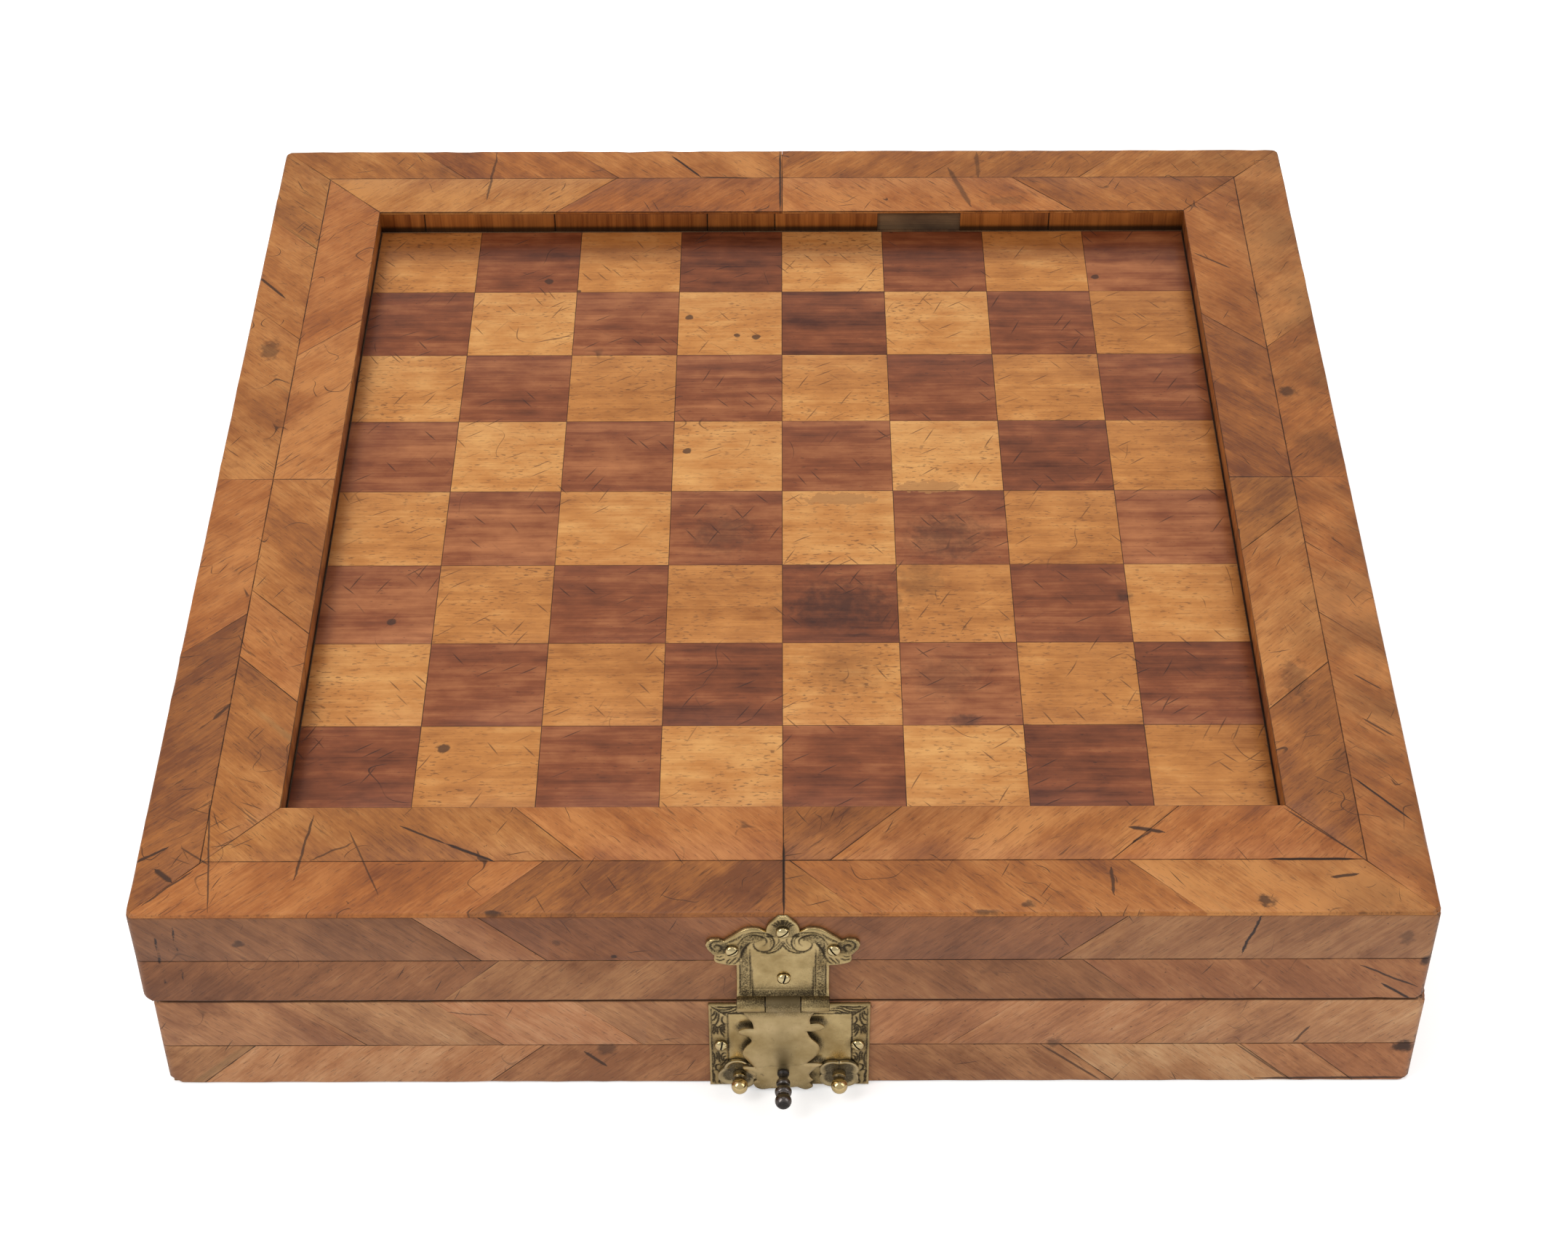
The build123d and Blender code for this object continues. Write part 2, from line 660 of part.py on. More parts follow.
def barrel(x_from, x_to, y, z, radius, mode=Mode.ADD):
    """A round bar or bore along X."""
    with Locations(((x_from + x_to) / 2, y, z)):
        Cylinder(radius, x_to - x_from, rotation=(0, 90, 0), mode=mode)


def make_hinge_leaf(side, tray, z):
    """Leaf of a butt hinge: the base has the two outer knuckles, the lid the middle one."""
    x = hinge_x[side]
    third = hinge_length / 3
    knuckles = {"base": ((x - hinge_length / 2, x - third / 2 - knuckle_gap),
                         (x + third / 2 + knuckle_gap, x + hinge_length / 2)),
                "lid": ((x - third / 2, x + third / 2),)}[tray]
    bore = hinge_pin_r + (pin_clearance if tray == "lid" else 0)
    with BuildPart() as leaf:
        board((x - hinge_length / 2, x + hinge_length / 2), (back - hinge_leaf_width, back),
              (z(rim - hinge_leaf), z(rim)))
        for x_from, x_to in knuckles:
            board((x_from, x_to), (back, hinge_y), (z(rim - hinge_leaf), z(rim)))
            barrel(x_from, x_to, hinge_y, half_height, hinge_barrel_r)
        barrel(x - hinge_length, x + hinge_length, hinge_y, half_height, bore, Mode.SUBTRACT)
        for sx, sy in hinge_screw_places()[side]:
            sink_profile((sx, sy, z(rim)), rim_normal[tray], Mode.SUBTRACT)
    save(leaf, f"{side}_hinge_{tray}_leaf")


def make_pin(name, x, length, y, z, radius):
    """Hinge pin, a little shorter than its barrel."""
    with BuildPart() as pin:
        barrel(x - length / 2, x + length / 2, y, z, radius)
        chamfer(pin.edges().filter_by(GeomType.CIRCLE), radius / 4)
    save(pin, name)


def make_hinges():
    for side, x in hinge_x.items():
        for tray, (_, _, z) in trays.items():
            make_hinge_leaf(side, tray, z)
        make_pin(f"{side}_hinge_pin", x, hinge_length - knuckle_gap, hinge_y, half_height,
                 hinge_pin_r)
    for tray, (_, _, z) in trays.items():
        make_hinge_screws(tray, z)


# ================================================================ hasp
def outline(stretches):
    """Curved stretches end to end, with a sharp corner between each two."""
    for points in stretches:
        if len(points) == 2:
            Line(*points)
        else:
            Spline(*points)


def make_hasp_plate():
    """Fixed plate with two knuckles at its foot."""
    with BuildPart() as hasp_plate:
        with BuildSketch(front_plane(hasp_x)):
            with BuildLine():
                outline(plate_outline)
                Polyline(plate_outline[-1][-1], (shank_half, plate_outline[-1][-1][1] - plate),
                         (shank_half, hasp_barrel_z), (0, hasp_barrel_z))
                mirror(about=Plane.YZ)
            make_face()
        extrude(amount=plate)
        barrel(hasp_x - shank_half, hasp_x + shank_half, hasp_barrel_y, hasp_barrel_z, hasp_barrel_r)
        room = flap_knuckle_half + knuckle_gap
        barrel(hasp_x - room, hasp_x + room, hasp_barrel_y, hasp_barrel_z,
               hasp_barrel_r + barrel_room, Mode.SUBTRACT)
        barrel(hasp_x - shank_half, hasp_x + shank_half, hasp_barrel_y, hasp_barrel_z, hasp_pin_r,
               Mode.SUBTRACT)
        for x, z, _ in hasp_screws:
            drill((hasp_x + x, front, z), (0, -1, 0), screw_shank_r, plate)
    save(hasp_plate, "hasp_plate")
    make_pin("hasp_pin", hasp_x, 2 * shank_half - knuckle_gap, hasp_barrel_y, hasp_barrel_z,
             hasp_pin_r)


def make_hasp_flap():
    """Swinging flap with the middle knuckle, pierced for the pull."""
    with BuildPart() as hasp_flap:
        with BuildSketch(front_plane(hasp_x, flap_back)):
            with BuildLine():
                outline(flap_right)
                outline(flap_left)
                Line(flap_left[0][0], flap_right[0][0])
            make_face()
            neck = hasp_barrel_z - flap_top
            with Locations((0, flap_top + neck / 2)):
                Rectangle(2 * flap_knuckle_half, neck)
        extrude(amount=flap)
        barrel(hasp_x - flap_knuckle_half, hasp_x + flap_knuckle_half, hasp_barrel_y, hasp_barrel_z,
               hasp_barrel_r)
        barrel(hasp_x - shank_half, hasp_x + shank_half, hasp_barrel_y, hasp_barrel_z,
               hasp_pin_r + pin_clearance, Mode.SUBTRACT)
        drill((hasp_x, front - flap_front, pull_z), (0, 1, 0), stud_neck_r, flap)
    save(hasp_flap, "hasp_flap")


def ball_profile(ball_r, centre, throat_r):
    """Profile of a ball from its throat round to the tip."""
    throat = centre - (ball_r ** 2 - throat_r ** 2) ** 0.5
    ThreePointArc((throat_r, throat), (ball_r, centre), (0, centre + ball_r))


def make_pull_knob():
    """Turned iron pull. Its stud passes through the flap and ends in a head for the levers."""
    place, axis = (hasp_x, front, pull_z), (0, -1, 0)
    ball = flap_front + pull_length - pull_ball_r
    waist, vase, neck, bulb, throat = [(radius, flap_front + along) for radius, along in
                                       (pull_waist, pull_vase, pull_neck, pull_bulb, pull_throat)]
    ball_start = (throat[0], ball - (pull_ball_r ** 2 - throat[0] ** 2) ** 0.5)
    with BuildPart() as pull_knob:
        with BuildSketch(turning_plane(place, axis)):
            with BuildLine():
                Polyline((0, flap_front + pull_length), (0, -head_depth - stud_head),
                         (stud_head_r, -head_depth - stud_head), (stud_head_r, -head_depth),
                         (stud_neck_r, -head_depth), (stud_neck_r, flap_front),
                         (pull_flange_r, flap_front), (pull_flange_r, flap_front + pull_flange),
                         waist, vase, neck)
                ThreePointArc(neck, bulb, throat)
                Line(throat, ball_start)
                ball_profile(pull_ball_r, ball, throat[0])
            make_face()
        revolve(axis=Axis(place, axis))
    save(pull_knob, "pull_knob")


# ================================================================ lock plate, knobs and levers
def stud_slot():
    """(low, high) of the slot that lets the stud's head swing out with the flap."""
    drop = hasp_barrel_z - pull_z
    inward = hasp_barrel_out + head_depth + stud_head
    dip = hypot(inward, drop + stud_head_r) - (drop + stud_head_r)
    return pull_z - stud_head_r - dip - part_clear, pull_z + stud_head_r + part_clear


def make_lock_plate():
    """Plate over the lock mortise, with bevelled edges, a slot and two bearings."""
    low, high = stud_slot()
    with BuildPart() as lock_plate:
        with BuildSketch(front_plane(base_x)):
            with Locations((0, (lock_plate_low + lock_plate_high) / 2)):
                Rectangle(lock_plate_width, lock_plate_high - lock_plate_low)
        extrude(amount=plate)
        rim_edges = lock_plate.faces().sort_by(Axis.Y)[0].edges()
        chamfer(rim_edges, plate_bevel)
        with BuildSketch(front_plane(hasp_x)):
            with Locations((0, (low + high) / 2)):
                SlotOverall(high - low, 2 * (stud_head_r + part_clear), rotation=90)
        extrude(amount=plate, mode=Mode.SUBTRACT)
        for side in (-1, 1):
            drill((base_x + side * knob_half_spacing, front, knob_z), (0, -1, 0),
                  spindle_r + pin_clearance, plate)
        for x, z, _ in lock_screws:
            drill((base_x + x, front, z), (0, -1, 0), screw_shank_r, plate)
    save(lock_plate, "lock_plate")


def make_rosette(name, x, turn):
    """Dished rosette of four petals under a knob."""
    foot = plate + small_clear
    place, axis = (x, front - foot, knob_z), (0, -1, 0)
    with BuildPart() as piece:
        with BuildSketch(front_plane(x, foot, knob_z)):
            with PolarLocations(petal_offset * 2 ** 0.5, 4, start_angle=45 + turn):
                Circle(petal_r)
            Circle(spindle_r, mode=Mode.SUBTRACT)
        extrude(amount=rosette)
        dish = petal_offset + petal_r - rosette_rim
        with BuildSketch(turning_plane(place, axis)):
            polygon(((0, rosette_floor), (dish / 2, rosette_floor), (dish, rosette), (0, rosette)))
        revolve(axis=Axis(place, axis), mode=Mode.SUBTRACT)
    save(piece, name)


def make_knob(name, x, level):
    """Turned knob: ball, groove and neck, on the spindle that carries its lever."""
    place, axis = (x, front, knob_z), (0, -1, 0)
    shoulder = plate + small_clear + rosette_floor
    inner_end = -(level + lever + part_clear / 2)
    groove_end = knob_ball_out - (knob_ball_r ** 2 - knob_groove_r ** 2) ** 0.5
    with BuildPart() as knob:
        with BuildSketch(turning_plane(place, axis)):
            with BuildLine():
                Polyline((0, knob_ball_out + knob_ball_r), (0, inner_end), (spindle_r, inner_end),
                         (spindle_r, shoulder), (knob_neck_r, shoulder),
                         (knob_neck_r, knob_neck_out), (knob_groove_r, groove_end))
                ball_profile(knob_ball_r, knob_ball_out, knob_groove_r)
            make_face()
        revolve(axis=Axis(place, axis))
    save(knob, name)


def make_lever(name, x, level, side):
    """Flat lever whose notch drops over the neck of the stud, shown unlocked."""
    reach, locked = lever_reach(x)
    notch = stud_neck_r + lever_notch_clear
    hook = notch + lever_prong
    mouth = notch + part_clear
    with BuildPart() as piece:
        with BuildSketch(front_plane(x, -level, knob_z, locked - side * knob_turn)):
            Circle(lever_boss_r)
            with Locations((reach / 2, 0)):
                Rectangle(reach, 2 * lever_half_width)
            with Locations((reach, 0)):
                Circle(hook)
                Circle(notch, mode=Mode.SUBTRACT)
            polygon(((reach - notch, 0), (reach + notch, 0), (reach + mouth, side * hook),
                     (reach - mouth, side * hook)), Mode.SUBTRACT)
            Circle(spindle_r, mode=Mode.SUBTRACT)
        extrude(amount=-lever)
    save(piece, name)


def make_knobs():
    for name, side, level, turn in (("left", -1, lever_level, left_rosette_turn),
                                    ("right", 1, lever_level + lever_spacing, 0)):
        x = base_x + side * knob_half_spacing
        make_knob(f"{name}_knob", x, level)
        make_rosette(f"{name}_rosette", x, turn)
        make_lever(f"{name}_lever", x, level, side)
        reach, locked = lever_reach(x)
        print(name, "lever reaches", round(reach, 2), "and locks at", round(locked, 1), "degrees")


for tray, (x, width, z) in trays.items():
    make_walls(tray, x, width, z)
    make_panel(tray, x, width, z)
    make_rim_edging(tray, x, width, z)
    make_side_banding(tray, x, width, z, base_line if tray == "base" else lid_line)
    make_tray_floor(tray, x, width, z)
make_top_banding()
make_frames()
make_recess_edging()
make_squares()
make_mill_board()
make_front_screws()
make_hinges()
make_hasp_plate()
make_hasp_flap()
make_pull_knob()
make_lock_plate()
make_knobs()
print("front face at y =", round(front, 3), "back face at", round(back, 3))
print("back hinge axis at", round(hinge_y, 3), half_height)
print("hasp axis at", round(hasp_barrel_y, 3), hasp_barrel_z)
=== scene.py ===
# %% [markdown]
# # A veneered chess box
#
# The box is two shallow trays that close on each other. Every outer face carries feather
# banding: slanting leaves of veneer laid in two strips, so that the grain meets in arrows.
# The frame comes from the CAD model, and each piece made here takes its place from it.

# %% Load the frame
import math
import random
from functools import reduce

import bmesh
import bpy
from mathutils import Euler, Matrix, Vector, kdtree, noise
from mathutils.geometry import delaunay_2d_cdt


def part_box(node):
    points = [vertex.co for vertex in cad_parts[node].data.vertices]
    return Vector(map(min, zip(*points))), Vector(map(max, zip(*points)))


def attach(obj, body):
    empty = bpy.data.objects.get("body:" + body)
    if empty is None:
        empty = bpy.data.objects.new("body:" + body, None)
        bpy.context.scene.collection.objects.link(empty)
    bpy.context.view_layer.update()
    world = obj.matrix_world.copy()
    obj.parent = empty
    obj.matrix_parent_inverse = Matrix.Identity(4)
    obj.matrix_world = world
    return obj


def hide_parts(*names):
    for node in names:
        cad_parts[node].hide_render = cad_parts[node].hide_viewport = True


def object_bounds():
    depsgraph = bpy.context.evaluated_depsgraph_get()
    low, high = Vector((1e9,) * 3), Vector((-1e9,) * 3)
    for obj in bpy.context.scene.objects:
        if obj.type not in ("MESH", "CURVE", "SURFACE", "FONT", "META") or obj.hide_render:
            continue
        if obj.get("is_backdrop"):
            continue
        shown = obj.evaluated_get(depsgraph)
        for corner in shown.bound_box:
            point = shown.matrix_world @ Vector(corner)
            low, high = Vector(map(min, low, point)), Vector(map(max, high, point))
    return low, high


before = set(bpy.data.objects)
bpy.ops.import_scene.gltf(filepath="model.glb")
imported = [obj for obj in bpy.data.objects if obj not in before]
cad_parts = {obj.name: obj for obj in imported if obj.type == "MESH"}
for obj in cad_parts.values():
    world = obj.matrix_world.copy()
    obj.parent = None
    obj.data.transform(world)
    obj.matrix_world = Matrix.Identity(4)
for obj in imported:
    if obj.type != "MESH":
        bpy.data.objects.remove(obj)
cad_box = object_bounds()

MM = 0.001


def corners_of(points):
    """The lowest and the highest corner of the box round some points."""
    return Vector(map(min, zip(*points))), Vector(map(max, zip(*points)))


def box(*nodes):
    """The corners of some CAD nodes, in millimetres."""
    return corners_of([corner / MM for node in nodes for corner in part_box(node)])


SIDES = ("front", "back", "left", "right")
lid_box = box(*(f"{place}_{side}_banding" for place in ("lid", "top") for side in SIDES))
base_box = box(*(f"base_{side}_banding" for side in SIDES), "underside_frame")
print("lid from", lid_box[0][:], "to", lid_box[1][:])

# %% [markdown]
# ## Camera, light and floor
#
# The camera stands in front of the box and looks down at it. Two tall soft boxes stand at
# the left and the right, so polished brass shows a pair of bright strips. The floor is near
# white, and the world adds an even light from all round.

# %% The camera
eye = Vector((0.14, -812.14, 773.29))
camera_turn = (46.965, 0.118, -0.087)
camera_data = bpy.data.cameras.new("camera")
camera_data.lens, camera_data.sensor_width = 68.474, 36.0
camera = bpy.data.objects.new("camera", camera_data)
camera.location = eye * MM
camera.rotation_euler = Euler(map(math.radians, camera_turn))
bpy.context.scene.collection.objects.link(camera)
bpy.context.scene.camera = camera
bpy.context.scene.view_settings.view_transform = "Standard"


# %% Soft boxes
def soft_box(name, place, width, height, power):
    """A rectangular lamp that faces the middle of the box."""
    lamp_data = bpy.data.lights.new(name, "AREA")
    lamp_data.shape = "RECTANGLE"
    lamp_data.size, lamp_data.size_y, lamp_data.energy = width, height, power
    lamp = bpy.data.objects.new(name, lamp_data)
    lamp.location = place
    lamp.rotation_euler = (-Vector(place)).to_track_quat("-Z", "Y").to_euler()
    bpy.context.scene.collection.objects.link(lamp)


soft_box("left_soft_box", (-1.5, -0.9, 1.6), 0.7, 1.6, 17)
soft_box("right_soft_box", (1.7, -0.7, 1.5), 0.7, 1.6, 7.5)
soft_box("top_soft_box", (0.1, 0.6, 2.2), 1.4, 1.0, 9)
print("lamps and camera are set")

# %% [markdown]
# ## Writing shaders as sums
#
# Node trees are easier to read as arithmetic. A `Wire` wraps one output socket, and its
# operators add Math nodes. A `Network` is the tree they are added to: `add` is the only
# place where nodes are created, and the other methods name the uses that come up again.
# `Finish` is a network that ends as a material.


# %% Wires
class Wire:
    """An output socket that can be used in arithmetic."""

    def __init__(self, network, socket):
        self.network, self.socket = network, socket

    def beside(self, output):
        """Another output of the same node."""
        return Wire(self.network, self.socket.node.outputs[output])

    def maths(self, operation, *values):
        return self.network.add("ShaderNodeMath", {"operation": operation}, dict(enumerate(values)))

    def __add__(self, other):
        return self.maths("ADD", self, other)

    def __radd__(self, other):
        return self.maths("ADD", other, self)

    def __sub__(self, other):
        return self.maths("SUBTRACT", self, other)

    def __rsub__(self, other):
        return self.maths("SUBTRACT", other, self)

    def __mul__(self, other):
        return self.maths("MULTIPLY", self, other)

    def __rmul__(self, other):
        return self.maths("MULTIPLY", other, self)

    def __truediv__(self, other):
        return self.maths("DIVIDE", self, other)

    def __abs__(self):
        return self.maths("ABSOLUTE", self)

    def fraction(self):
        return self.maths("FRACT", self)

    def at_least(self, other):
        return self.maths("MAXIMUM", self, other)

    def at_most(self, other):
        return self.maths("MINIMUM", self, other)

    def step(self, start, end):
        """0 before start, 1 after end, and an easy slope between them."""
        return self.network.add("ShaderNodeMapRange", {"interpolation_type": "SMOOTHSTEP"},
                                {0: self, 1: start, 2: end, 3: 0.0, 4: 1.0})


# %% Networks and finishes
def tone(code):
    """A colour written as six hex digits, in Blender's linear light."""
    parts = [int(code[at:at + 2], 16) / 255 for at in (0, 2, 4)]
    return tuple(part / 12.92 if part <= 0.04045 else ((part + 0.055) / 1.055) ** 2.4
                 for part in parts) + (1.0,)


class Network:
    """A node tree in the making."""

    def __init__(self, owner):
        owner.use_nodes = True
        self.tree = owner.node_tree
        self.tree.nodes.clear()

    def add(self, kind, settings=None, sockets=None, output=0):
        """A new node: its settings first, then the values or wires of its sockets."""
        node = self.tree.nodes.new(kind)
        for name, value in (settings or {}).items():
            setattr(node, name, value)
        for key, value in (sockets or {}).items():
            if isinstance(value, Wire):
                self.tree.links.new(value.socket, node.inputs[key])
            else:
                node.inputs[key].default_value = value
        return Wire(self, node.outputs[output]) if len(node.outputs) else node

    def seen_straight(self):
        """1 where the camera looks straight at something, and 0 in reflections and light."""
        return self.add("ShaderNodeLightPath", output="Is Camera Ray")

    def vector_maths(self, operation, *vectors, output="Vector", **named):
        sockets = {**dict(enumerate(vectors)), **named}
        return self.add("ShaderNodeVectorMath", {"operation": operation}, sockets, output)

    def vector(self, x, y, z=0.0):
        return self.add("ShaderNodeCombineXYZ", None, {0: x, 1: y, 2: z})

    def scaled(self, vector, factor):
        return self.vector_maths("SCALE", vector, Scale=factor)

    def dot(self, first, second):
        return self.vector_maths("DOT_PRODUCT", first, second, output="Value")

    def length(self, x, y):
        return self.vector_maths("LENGTH", self.vector(x, y), output="Value")

    def attribute(self, name, output="Fac"):
        return self.add("ShaderNodeAttribute", {"attribute_name": name}, None, output)

    def noise(self, vector, detail=3.0, roughness=0.55):
        return self.add("ShaderNodeTexNoise", None, {"Vector": vector, "Scale": 1.0,
                                                     "Detail": detail, "Roughness": roughness})

    def mix(self, factor, first, second, blend="MIX"):
        """Colours in, colour out. A colour may be six hex digits."""
        first, second = [tone(c) if isinstance(c, str) else c for c in (first, second)]
        return self.add("ShaderNodeMix", {"data_type": "RGBA", "blend_type": blend},
                        {0: factor, 6: first, 7: second}, 2)

    def shaded(self, factor, colour, tint):
        """A colour darkened towards its product with a tint."""
        return self.mix(factor, colour, tint, "MULTIPLY")

    def ramp(self, value, stops):
        """A colour between (place, colour) stops, joined by straight blends."""
        (place, colour), *others = stops
        for next_place, next_colour in others:
            share = ((value - place) / (next_place - place)).at_least(0.0).at_most(1.0)
            colour = self.mix(share, colour, next_colour)
            place = next_place
        return colour


class Finish(Network):
    """A material in the making."""

    def __init__(self, name):
        self.material = bpy.data.materials.new(name)
        super().__init__(self.material)
        self.place = self.scaled(self.add("ShaderNodeTexCoord", output="Object"), 1 / MM)

    def bump(self, height, strength, distance):
        """A bumped normal from heights. The distance is in millimetres."""
        return self.add("ShaderNodeBump", None,
                        {"Strength": strength, "Distance": distance * MM, "Height": height})

    def done(self, **sockets):
        """Ends the material with one shader. A socket's name is written with underscores."""
        shader = self.add("ShaderNodeBsdfPrincipled", None,
                          {name.replace("_", " "): value for name, value in sockets.items()})
        self.add("ShaderNodeOutputMaterial", None, {"Surface": shader})
        return self.material


# %% The floor and the world
def paper_white(glow):
    """Near white. A little glow, for the camera alone, makes it white in full light."""
    finish = Finish("paper_white")
    light = finish.mix(finish.seen_straight(), (0, 0, 0, 1), (glow, glow, glow, 1))
    return finish.done(Base_Color=tone("FBFBFB"), Roughness=0.9, Specular_IOR_Level=0.0,
                       Emission_Color=light, Emission_Strength=1.0)


def lay_floor(half_size, glow):
    mesh = bpy.data.meshes.new("floor")
    corners = [(x * half_size, y * half_size, 0) for x, y in ((-1, -1), (1, -1), (1, 1), (-1, 1))]
    mesh.from_pydata(corners, [], [(0, 1, 2, 3)])
    mesh.materials.append(paper_white(glow))
    floor = bpy.data.objects.new("floor", mesh)
    bpy.context.scene.collection.objects.link(floor)
    floor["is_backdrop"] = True


def light_world(glow):
    """An even glow on the object. The camera sees plain white instead."""
    world = bpy.data.worlds.new("studio")
    bpy.context.scene.world = world
    studio = Network(world)
    strength = studio.seen_straight() * (1.0 - glow) + glow
    light = studio.add("ShaderNodeBackground", None, {"Color": (1, 1, 1, 1), "Strength": strength})
    studio.add("ShaderNodeOutputWorld", None, {"Surface": light})


lay_floor(half_size=6.0, glow=0.40)
light_world(glow=0.60)
print("floor and world are set")

# %% [markdown]
# ## Old veneer
#
# Each leaf is cut from its own sheet, so it has its own grain direction and tint. The mesh
# carries them as attributes: `grain` and `across` are directions, `leaf` is a number from
# 0 to 1, and `seam` is 1 at the leaf's edge and 0 a third of a millimetre inside it. The
# colour is noise drawn out along the grain. Pores, scratches, stains and dirt in the seams
# darken it, and the same masks drive the roughness and a shallow bump.


# %% Grain
class Wood(Finish):
    """A material with coordinates that follow each leaf's own grain."""

    def __init__(self, name, facing):
        super().__init__(name)
        grain, side = self.attribute("grain", "Vector"), self.attribute("across", "Vector")
        self.leaf, self.seam, self.worn = map(self.attribute, ("leaf", "seam", "worn"))
        deep = self.vector_maths("CROSS_PRODUCT", grain, side)
        self.along, self.side, self.deep, self.s, self.t = [
            self.dot(self.place, axis) for axis in (grain, side, deep, *facing)]
        self.bend = self.cloud(30.0, 0.4, 1.0) - 0.5
        self.sway = self.cloud(5.0, 1.4, 3.0) - 0.5
        self.fray = self.cloud(3.0, 2.4, 4.0) - 0.5

    def streaks(self, length, width, seed, detail=3.0, roughness=0.55, sway=0.0):
        """Noise stretched along the grain. Length and width are in millimetres."""
        side = self.side
        if sway:
            bent = self.vector(self.along / 34.0, self.side / 21.0, self.leaf * 19.0 + seed)
            side = side + (self.noise(bent, 2.0) - 0.5) * sway
        point = self.vector(self.along / length + self.leaf * 37.0 + seed,
                            side / width + self.leaf * 91.0, self.deep / width + seed)
        return self.noise(point, detail, roughness)

    def cloud(self, size, seed, detail=4.0):
        """Noise that takes no notice of the leaves, with patches of about this size."""
        return self.noise(self.vector(self.s / size + seed, self.t / size, seed * 1.7), detail, 0.6)

    def dashes(self, angle, length, spacing, share, width=0.3, seed=0.0):
        """Thin straight marks at an angle, kept in a share of the cells they could lie in."""
        cosine, sine = math.cos(math.radians(angle)), math.sin(math.radians(angle))
        along, side = self.s * cosine + self.t * sine, self.t * cosine - self.s * sine
        point = self.vector(along / length + seed, (side + self.bend * 6.0) / spacing, seed)
        near = self.add("ShaderNodeTexVoronoi", {"voronoi_dimensions": "2D"},
                        {"Vector": point, "Scale": 1.0})
        pick = self.dot(near.beside("Color"), (1.0, 0.0, 0.0))
        return (1.0 - near.step(0.35 * width, width)) * pick.step(1.0 - share, 1.0 - share * 0.4)

    def hairs(self, size, thin, seed):
        """Fine curved scratches: the lines where a soft noise passes through its middle."""
        line = 1.0 - abs(self.cloud(size, seed, 1.0) - 0.5).step(0.35 * thin, thin)
        return line * self.cloud(0.8 * size, seed + 3.0, 2.0).step(0.57, 0.66)

    def blot(self, centre, size, ragged=0.5, soft=0.6):
        """A stain round a place on the face: 1 inside, 0 outside, with a ragged edge."""
        away = self.length((self.s - centre[0]) / size[0], (self.t - centre[1]) / size[1])
        return 1.0 - (away + self.fray * 2.0 * ragged).step(1.0 - soft, 1.0)

    def crack(self, start, end, width, wander=1.6):
        """A dark split from one place to another, thin at both ends."""
        run = Vector(end) - Vector(start)
        s, t = self.s + self.sway * wander - start[0], self.t - self.sway * wander - start[1]
        share = ((s * run.x + t * run.y) / run.length_squared).at_least(0.0).at_most(1.0)
        taper = (share * (1.0 - share)).step(0.0, 0.15) * 0.75 + 0.25
        away = self.length(s - share * run.x, t - share * run.y) / taper
        return 1.0 - away.step(0.35 * width, width)

    def painted(self, colour, *coats):
        """A colour under several coats. Each coat is a mask and a colour."""
        for mask, coat in coats:
            colour = self.mix(mask, colour, coat)
        return colour


def strongest(masks):
    """Where any of several masks is strong."""
    return reduce(Wire.at_least, masks)


def weighed(*parts):
    """Noises added by weight, so that the sum stays round one half."""
    return sum((part - 0.5) * weight for part, weight in parts) + 0.5


